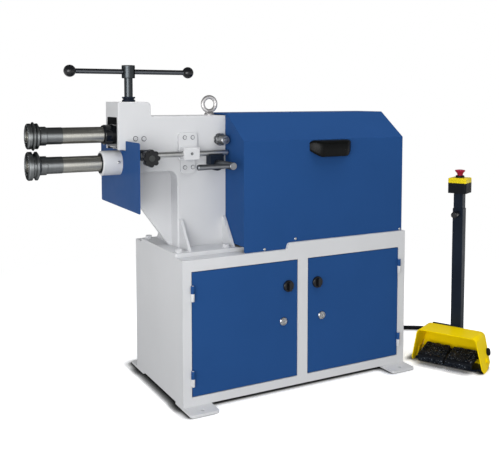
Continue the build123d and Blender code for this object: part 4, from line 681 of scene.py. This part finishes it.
def grease_nipple():
    """Nipple on the lower housing's front."""
    x, lift = NIPPLE_AT
    tilt = math.radians(lift)
    out = Vector((0, -math.cos(tilt), math.sin(tilt)))
    hexa = hexagon(0.009)
    profile = [
        (-0.001, hexa), (0.004, hexa), (0.0045, 0.0036), (0.006, 0.0024), (0.0075, 0.0024), (0.009, 0.0034),
        (0.0105, 0.0026), (0.0112, 0.0012),
    ]
    at = Vector((x, 0, LOWER_Z)) + out * HOUSING_R
    return piece(turned("grease_nipple", profile, at, out, 24), "machine", "zinc_steel")


grease_nipple()
CAP_GREY = moulded("cap_grey", srgb(72, 74, 73), 0.35)
cap = [(-SINK, 0.0115), (0.001, 0.0115), (0.0018, 0.0106), (0.0024, 0.007), (0.0026, 0.002)]
piece(turned("knob_cap", cap, KNOB_FACE, (0, -1, 0)), "gauge_star", "black_plastic", CAP_GREY)


# Rubber pads on the treads
def pad_line():
    """Points, outward directions and pad heights over a tread, from the heel over the front edge."""
    front = Vector((0, *TREAD_FRONT))
    heel = Vector((0, *TREAD_HEEL))
    slope = (front - heel).normalized()
    up = Vector((0, slope.z, -slope.y))
    turn = math.acos(slope.dot(Vector((0, 0, -1))))
    reach = TREAD_ROUND * math.tan(turn / 2)
    bend = front - slope * reach - up * TREAD_ROUND
    flat = (front - heel).length - reach
    steps = 30
    line = []
    for i in range(steps + 1):
        back = 1 - i / steps
        spot = heel + slope * (PAD_IN + (flat - PAD_IN) * i / steps)
        line.append((spot, up, PAD_T + (PAD_HEEL - PAD_T) * back))
    for i in range(1, 6):
        out = Matrix.Rotation(-turn * i / 5, 3, "X") @ up
        line.append((bend + out * TREAD_ROUND, out, PAD_T))
    low = front.z - reach
    forward = Vector((0, -1, 0))
    drop = low - PAD_LIP
    return line + [(Vector((0, front.y, low - drop * i / 6)), forward, PAD_T) for i in range(1, 7)]


def tread_pad(side):
    """Pebbled rubber skin on one tread, closed underneath."""
    line = pad_line()
    across = 32
    u0 = TREAD_GAP / 2 + PAD_IN
    width = TREAD_W - 2 * PAD_IN
    tops, bottoms = [], []
    for row, (spot, out, height) in enumerate(line):
        for step in range(across + 1):
            base = spot + Vector((side * (u0 + width * step / across), 0, 0))
            edge = min(row, len(line) - 1 - row, step, across - step)
            grain = 1 - 3 * abs(noise.noise(base * 48)) + 0.8 * noise.noise(base * 150)
            tops.append(base + out * ((height + PAD_PEBBLE * grain) if edge else -SINK))
            bottoms.append(base - out * SINK * 2)
    count = across + 1
    faces = []
    for row in range(len(line) - 1):
        for step in range(across):
            a = row * count + step
            quad = (a, a + 1, a + count + 1, a + count)
            low = tuple(index + len(tops) for index in quad)
            faces += [quad[::side], low[::-side]]
    edge = [(step, step + 1) for step in range(across)]
    last = (len(line) - 1) * count
    edge += [(last + step + 1, last + step) for step in range(across)]
    for row in range(len(line) - 1):
        a = row * count
        edge += [(a + count, a), (a + across, a + across + count)]
    for a, b in edge:
        faces.append((b, a, a + len(tops), b + len(tops))[::side])
    mesh = bpy.data.meshes.new("left_pad" if side < 0 else "right_pad")
    mesh.from_pydata([pedal_place(*point) for point in tops + bottoms], [], faces)
    pad = piece(mesh, "left_pedal" if side < 0 else "right_pedal", "black_plastic", PAD_RUBBER, 80.0)
    smooth = pad.modifiers.new("smooth", "SUBSURF")
    smooth.levels = 1
    smooth.render_levels = 1
    return pad


# The light grey is the colour of the painted glints
PAD_RUBBER = pebbled("pad_rubber", srgb(17, 21, 28), srgb(150, 158, 164))
for side in (-1, 1):
    tread_pad(side)


# Pedal's base, guard liner, tabs and caps
def drawn(axis, outline, start, end):
    """Mesh of an outline drawn along u, v or z of the pedal."""
    place = "uvz".index(axis)

    def along(point, t):
        return pedal_place(*point[:place], t, *point[place:])

    rings = [[along(point, t) for point in outline] for t in (start, end)]
    return ring_mesh("drawn", rings)


def arc(centre, r, start, end, steps=8):
    angles = [math.radians(start + (end - start) * i / steps) for i in range(steps + 1)]
    return [(centre[0] + r * math.cos(angle), centre[1] + r * math.sin(angle)) for angle in angles]


def joined(name, meshes, body, slot, material=None):
    """One piece of several meshes, with its edges rounded."""
    shape = bmesh.new()
    for mesh in meshes:
        shape.from_mesh(mesh)
        bpy.data.meshes.remove(mesh)
    bmesh.ops.recalc_face_normals(shape, faces=shape.faces)
    whole = bpy.data.meshes.new(name)
    shape.to_mesh(whole)
    shape.free()
    thing = piece(whole, body, slot, material)
    bevel = thing.modifiers.new("round", "BEVEL")
    bevel.width = 0.0008
    bevel.segments = 2
    bevel.limit_method = "ANGLE"
    bevel.harden_normals = True
    return thing


def guard_inside(z, more=0.0):
    """Half width inside the guard's legs at a height."""
    return GUARD_FOOT / 2 - GUARD_LEAN * z - GUARD_T * math.hypot(1, GUARD_LEAN) - more


def mirrored(outline):
    """An outline drawn from its right half, which starts and ends at the middle."""
    return outline + [(-a, b) for a, b in reversed(outline)]


def pedal_floor_plate():
    """Floor plate cut back behind the treads, with ears to the guard, the pin's lugs and the cable's boss."""
    ear = guard_inside(BASE_T)
    r = TAIL_ROUND
    plate = mirrored([
        (BASE_HALF, BASE_FRONT), (BASE_HALF, EAR[0]), (ear, EAR[0] + EAR_IN), (ear, EAR[1] - EAR_IN),
        (BASE_HALF, EAR[1]), (BASE_HALF, GUARD_BACK), (BASE_TAIL, GUARD_BACK),
    ] + arc((BASE_TAIL - r, BASE_BACK - r), r, 0, 90))
    meshes = [drawn("z", plate, 0, BASE_T)]
    u, z = PEDAL_GLAND[0], PEDAL_GLAND[2]
    half = BOSS_W / 2
    r = BOSS_W / 3
    top = z + half
    boss = [(u - half, BASE_T), (u + half, BASE_T)] + arc((u + half - r, top - r), r, 0, 90)
    meshes.append(drawn("v", boss + arc((u - half + r, top - r), r, 90, 180), *BOSS))
    v, z = PIN
    lug = [(v - BARREL_R, BASE_T), (v + BARREL_R, BASE_T)] + arc(PIN, BARREL_R, 0, 180, 16)
    start = TREAD_W + TREAD_GAP / 2 + LUG_GAP
    for side in (-1, 1):
        meshes.append(drawn("u", lug, side * start, side * (start + LUG_T)))
    plate = joined("pedal_floor_plate", meshes, "machine", "black_paint")
    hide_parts("pedal_base")


def guard_trim():
    """Liner that carries the guard's back wall down; tabs, a web and a cap on each leg."""
    r = GUARD_BEND - GUARD_T
    top = GUARD_H - GUARD_T
    low = guard_inside(LINER_LOW, LINER_PROUD)
    shoulder = guard_inside(top - r, LINER_PROUD)
    liner = mirrored([(low - GUARD_T, BASE_T), (low, LINER_LOW), (shoulder, top - r), (shoulder - r, top)])
    front = GUARD_BACK - GUARD_T - LINER_PROUD
    joined("guard_liner", [drawn("v", liner, front, GUARD_BACK - LINER_PROUD)], "machine", "yellow_paint")
    reach = GUARD_FOOT / 2 - GUARD_LEAN * CAP_AT[1]
    for side in (-1, 1):
        name = "left" if side < 0 else "right"
        corners = ((0, 0), (0, TAB_H), (GUARD_T, TAB_H), (GUARD_T, 0))
        tab = [(side * guard_inside(b, a), b) for a, b in corners]
        joined(name + "_guard_tab", [drawn("v", tab, *TAB)], "machine", "yellow_paint")
        web = [
            [pedal_place(side * guard_inside(b, a), v, b) for v, b in LEG_WEB]
            for a in (LINER_PROUD - GUARD_T, -LINER_PROUD)
        ]
        joined(name + "_leg_web", [ring_mesh("web", web)], "machine", "yellow_paint")
        out = pedal_place(side, 0, GUARD_LEAN) - pedal_place(0, 0, 0)
        cap = [
            (-GUARD_T / 2, CAP_R * 0.5), (-SINK, CAP_R * 0.5), (-SINK, CAP_R), (CAP_L * 0.7, CAP_R),
            (CAP_L * 0.9, CAP_R * 0.9), (CAP_L, CAP_R * 0.7), (CAP_L, CAP_R * 0.4),
            (CAP_L * 0.8, CAP_R * 0.3),
        ]
        at = pedal_place(side * reach, *CAP_AT)
        piece(turned(name + "_guard_cap", cap, at, out), "machine", "black_plastic")


pedal_floor_plate()
guard_trim()


# Hood's grip
def grip_section(x, full, low, high):
    """Loop of a shell grip's wall, open downwards, between its flat end (0) and its middle (1)."""
    out = GRIP_FOOT + (GRIP_REACH - GRIP_FOOT) * full
    lip_share, lip_rise = GRIP_FRONT[-1]
    lip = lip_share * out
    inner = max(lip - GRIP_WALL, GRIP_FOOT / 4)
    top = high[2] - GRIP_DROP * (1 - full) ** 3
    bottom = low[2] + GRIP_RISE * (1 - full)
    loop = [(share * out, top - drop * full) for share, drop in GRIP_TOP]
    loop += [(share * out, bottom + rise) for share, rise in GRIP_FRONT]
    loop += [((lip + inner) / 2, bottom), (inner, bottom + lip_rise)]
    loop += [(share * inner, top - drop * full - GRIP_ROOF) for share, drop in GRIP_INSIDE]
    return [(x, -HOOD_HALF - y, z) for y, z in loop]


def hood_pull():
    """Shell grip on the hood's front, on a blank in the sheet's opening."""
    low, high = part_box("hood_grip")
    shares = [step / GRIP_STEPS for step in range(GRIP_STEPS + 1)]
    swell = [(share, math.sin(math.pi / 2 * share)) for share in shares]
    stops = [(low[0] + GRIP_END * share, full) for share, full in swell]
    stops += [(high[0] - GRIP_END * share, full) for share, full in reversed(swell)]
    rings = [grip_section(x, full, low, high) for x, full in stops]
    plastic = moulded("grip_plastic", srgb(9, 10, 10), 0.30, relief=0.02, spec=0.12)
    grip = joined("shell_grip", [ring_mesh("shell", rings)], "machine", "black_plastic", plastic)
    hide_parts("hood_grip")
    edge = GRIP_RIM / 2
    face = -HOOD_HALF + SINK / 5
    blank = [
        [(low[0] + edge, y, low[2] + edge), (high[0] - edge, y, low[2] + edge),
         (high[0] - edge, y, high[2] - edge), (low[0] + edge, y, high[2] - edge)]
        for y in (face, face + HOOD_SHEET)
    ]
    piece(ring_mesh("hood_blank", blank), "machine", "blue_paint")


hood_pull()


# Studio
def area_light(name, place, aim, size, power, mirrored=True):
    lamp = bpy.data.lights.new(name, "AREA")
    lamp.shape = "DISK"
    lamp.size = size
    lamp.energy = power
    stand = bpy.data.objects.new(name, lamp)
    scene.collection.objects.link(stand)
    stand.visible_glossy = mirrored
    stand.location = place
    stand.rotation_euler = (Vector(aim) - Vector(place)).to_track_quat("-Z", "Y").to_euler()


WORLD_LIGHT = 0.5
WORLD_TOP = 0.22
WORLD_BACK = 0.55
FLOOR_HALF = 14.0
FLOOR_PAINT = 0.55
FLOOR_SEEN = 1.75
# Painted contact shade on the floor: reach, darkness and lean of its occlusion
CONTACT_REACH = 0.040
CONTACT_DARK = 4.6
CONTACT_LEAN = (1.2, -0.5, 0)
FLOOR_Z = -0.0004
FLOOR_CENTRE = (0.15, -0.1, 0)
FLOOR_FADE = (1.1, 2.6)
ROOM_LIGHT = (0.98, 0.99, 1.0, 1)
ROOM_BRIGHT_SIDE = (-0.6, -0.8, 0)
ROOM_FRONT = 0.8
WHITE = (1, 1, 1, 1)
area_light("front", (-2.0, -6.0, 1.3), (0.0, 0.0, 0.6), 4.0, 44.0)
area_light("left", (-3.2, -2.8, 0.75), (-0.3, 0.0, 0.75), 3.0, 108.0)
area_light("top", (0.4, -1.6, 4.8), (0.3, 0.0, 0.6), 4.5, 86.0, mirrored=False)


def seen_directly(tree):
    """1 for rays from the camera and for mirrored or refracted ones."""
    path = tree.nodes.new("ShaderNodeLightPath")
    value = path.outputs["Is Camera Ray"]
    for other in ("Is Glossy Ray", "Is Transmission Ray"):
        node = tree.nodes.new("ShaderNodeMath")
        node.operation = "MAXIMUM"
        tree.links.new(value, node.inputs[0])
        tree.links.new(path.outputs[other], node.inputs[1])
        value = node.outputs[0]
    return value


def make_world():
    world = bpy.data.worlds.new("studio")
    scene.world = world
    world.use_nodes = True
    tree = world.node_tree
    light = tree.nodes["Background"]
    light.inputs["Color"].default_value = ROOM_LIGHT
    light.inputs["Strength"].default_value = WORLD_LIGHT
    room = tree.nodes.new("ShaderNodeBackground")
    place = tree.nodes.new("ShaderNodeTexCoord")
    split = tree.nodes.new("ShaderNodeSeparateXYZ")
    tree.links.new(place.outputs["Generated"], split.inputs[0])
    height = tree.nodes.new("ShaderNodeMapRange")
    height.interpolation_type = "SMOOTHSTEP"
    for key, value in (("From Min", 0.15), ("From Max", 0.6), ("To Min", 1.0), ("To Max", WORLD_TOP)):
        height.inputs[key].default_value = value
    tree.links.new(split.outputs["Z"], height.inputs["Value"])
    towards = tree.nodes.new("ShaderNodeVectorMath")
    towards.operation = "DOT_PRODUCT"
    towards.inputs[1].default_value = ROOM_BRIGHT_SIDE
    tree.links.new(place.outputs["Generated"], towards.inputs[0])
    side = tree.nodes.new("ShaderNodeMapRange")
    for key, value in (("From Min", -1.0), ("From Max", 0.4), ("To Min", WORLD_BACK), ("To Max", ROOM_FRONT)):
        side.inputs[key].default_value = value
    tree.links.new(towards.outputs["Value"], side.inputs["Value"])
    strength = tree.nodes.new("ShaderNodeMath")
    strength.operation = "MULTIPLY"
    tree.links.new(height.outputs["Result"], strength.inputs[0])
    tree.links.new(side.outputs["Result"], strength.inputs[1])
    tree.links.new(strength.outputs[0], room.inputs["Strength"])
    path = tree.nodes.new("ShaderNodeLightPath")
    white = tree.nodes.new("ShaderNodeBackground")
    white.inputs["Color"].default_value = WHITE
    mirrored = tree.nodes.new("ShaderNodeMixShader")
    tree.links.new(seen_directly(tree), mirrored.inputs[0])
    tree.links.new(light.outputs[0], mirrored.inputs[1])
    tree.links.new(room.outputs[0], mirrored.inputs[2])
    mix = tree.nodes.new("ShaderNodeMixShader")
    tree.links.new(path.outputs["Is Camera Ray"], mix.inputs[0])
    tree.links.new(mirrored.outputs[0], mix.inputs[1])
    tree.links.new(white.outputs[0], mix.inputs[2])
    tree.links.new(mix.outputs[0], tree.nodes["World Output"].inputs["Surface"])


def make_floor():
    """Pale floor that keeps the lamps' shadow near the machine, deepened there by painted contact shade, and
    is plain white further out.
    """
    mesh = bpy.data.meshes.new("floor")
    h = FLOOR_HALF
    z = FLOOR_Z
    mesh.from_pydata([(-h, -h, z), (h, -h, z), (h, h, z), (-h, h, z)], [], [(0, 1, 2, 3)])
    floor = bpy.data.objects.new("floor", mesh)
    scene.collection.objects.link(floor)
    material = bpy.data.materials.new("floor")
    material.use_nodes = True
    tree = material.node_tree
    tree.nodes.remove(tree.nodes["Principled BSDF"])
    paint, bright = (tree.nodes.new("ShaderNodeBsdfDiffuse") for _ in range(2))
    paint.inputs["Color"].default_value = (FLOOR_PAINT, FLOOR_PAINT, FLOOR_PAINT, 1)
    white = tree.nodes.new("ShaderNodeEmission")
    white.inputs["Color"].default_value = WHITE
    place = tree.nodes.new("ShaderNodeTexCoord")
    centre = tree.nodes.new("ShaderNodeVectorMath")
    centre.operation = "DISTANCE"
    centre.inputs[1].default_value = FLOOR_CENTRE
    tree.links.new(place.outputs["Object"], centre.inputs[0])
    # Painted shade: occlusion with a normal leaned towards +X and away from the front darkens the floor's
    # colour for camera rays
    near_shade = tree.nodes.new("ShaderNodeAmbientOcclusion")
    near_shade.samples = 16
    near_shade.inputs["Distance"].default_value = CONTACT_REACH
    facing = tree.nodes.new("ShaderNodeNewGeometry")
    lean = tree.nodes.new("ShaderNodeVectorMath")
    lean.inputs[1].default_value = CONTACT_LEAN
    tree.links.new(facing.outputs["Normal"], lean.inputs[0])
    level = tree.nodes.new("ShaderNodeVectorMath")
    level.operation = "NORMALIZE"
    tree.links.new(lean.outputs[0], level.inputs[0])
    tree.links.new(level.outputs[0], near_shade.inputs["Normal"])
    dark = tree.nodes.new("ShaderNodeMath")
    dark.operation = "POWER"
    dark.inputs[1].default_value = CONTACT_DARK
    tree.links.new(near_shade.outputs["AO"], dark.inputs[0])
    light = tree.nodes.new("ShaderNodeMath")
    light.operation = "MULTIPLY"
    light.inputs[1].default_value = FLOOR_SEEN
    tree.links.new(dark.outputs[0], light.inputs[0])
    tree.links.new(light.outputs[0], bright.inputs["Color"])
    fade = tree.nodes.new("ShaderNodeMapRange")
    fade.interpolation_type = "SMOOTHSTEP"
    for key, value in zip(("From Min", "From Max"), FLOOR_FADE):
        fade.inputs[key].default_value = value
    tree.links.new(centre.outputs["Value"], fade.inputs["Value"])
    seen = tree.nodes.new("ShaderNodeMixShader")
    path = tree.nodes.new("ShaderNodeLightPath")
    near = tree.nodes.new("ShaderNodeMixShader")
    tree.links.new(path.outputs["Is Camera Ray"], near.inputs[0])
    tree.links.new(paint.outputs[0], near.inputs[1])
    tree.links.new(bright.outputs[0], near.inputs[2])
    tree.links.new(fade.outputs["Result"], seen.inputs[0])
    tree.links.new(near.outputs[0], seen.inputs[1])
    tree.links.new(white.outputs[0], seen.inputs[2])
    mix = tree.nodes.new("ShaderNodeMixShader")
    tree.links.new(seen_directly(tree), mix.inputs[0])
    tree.links.new(paint.outputs[0], mix.inputs[1])
    tree.links.new(seen.outputs[0], mix.inputs[2])
    tree.links.new(mix.outputs[0], tree.nodes["Material Output"].inputs["Surface"])
    mesh.materials.append(material)


make_world()
make_floor()
scene.view_settings.view_transform = "Standard"

lens = bpy.data.cameras.new("camera")
lens.sensor_width = SENSOR_MM
lens.lens = FOCAL_PX / IMAGE_W * SENSOR_MM
lens.shift_y = (AXIS_ROW - IMAGE_H / 2) / IMAGE_W
camera = bpy.data.objects.new("camera", lens)
scene.collection.objects.link(camera)
camera.location = CAMERA_AT
camera.rotation_euler = (math.radians(90 - CAMERA_TILT), 0, math.radians(-CAMERA_YAW))
scene.camera = camera

bpy.context.view_layer.update()
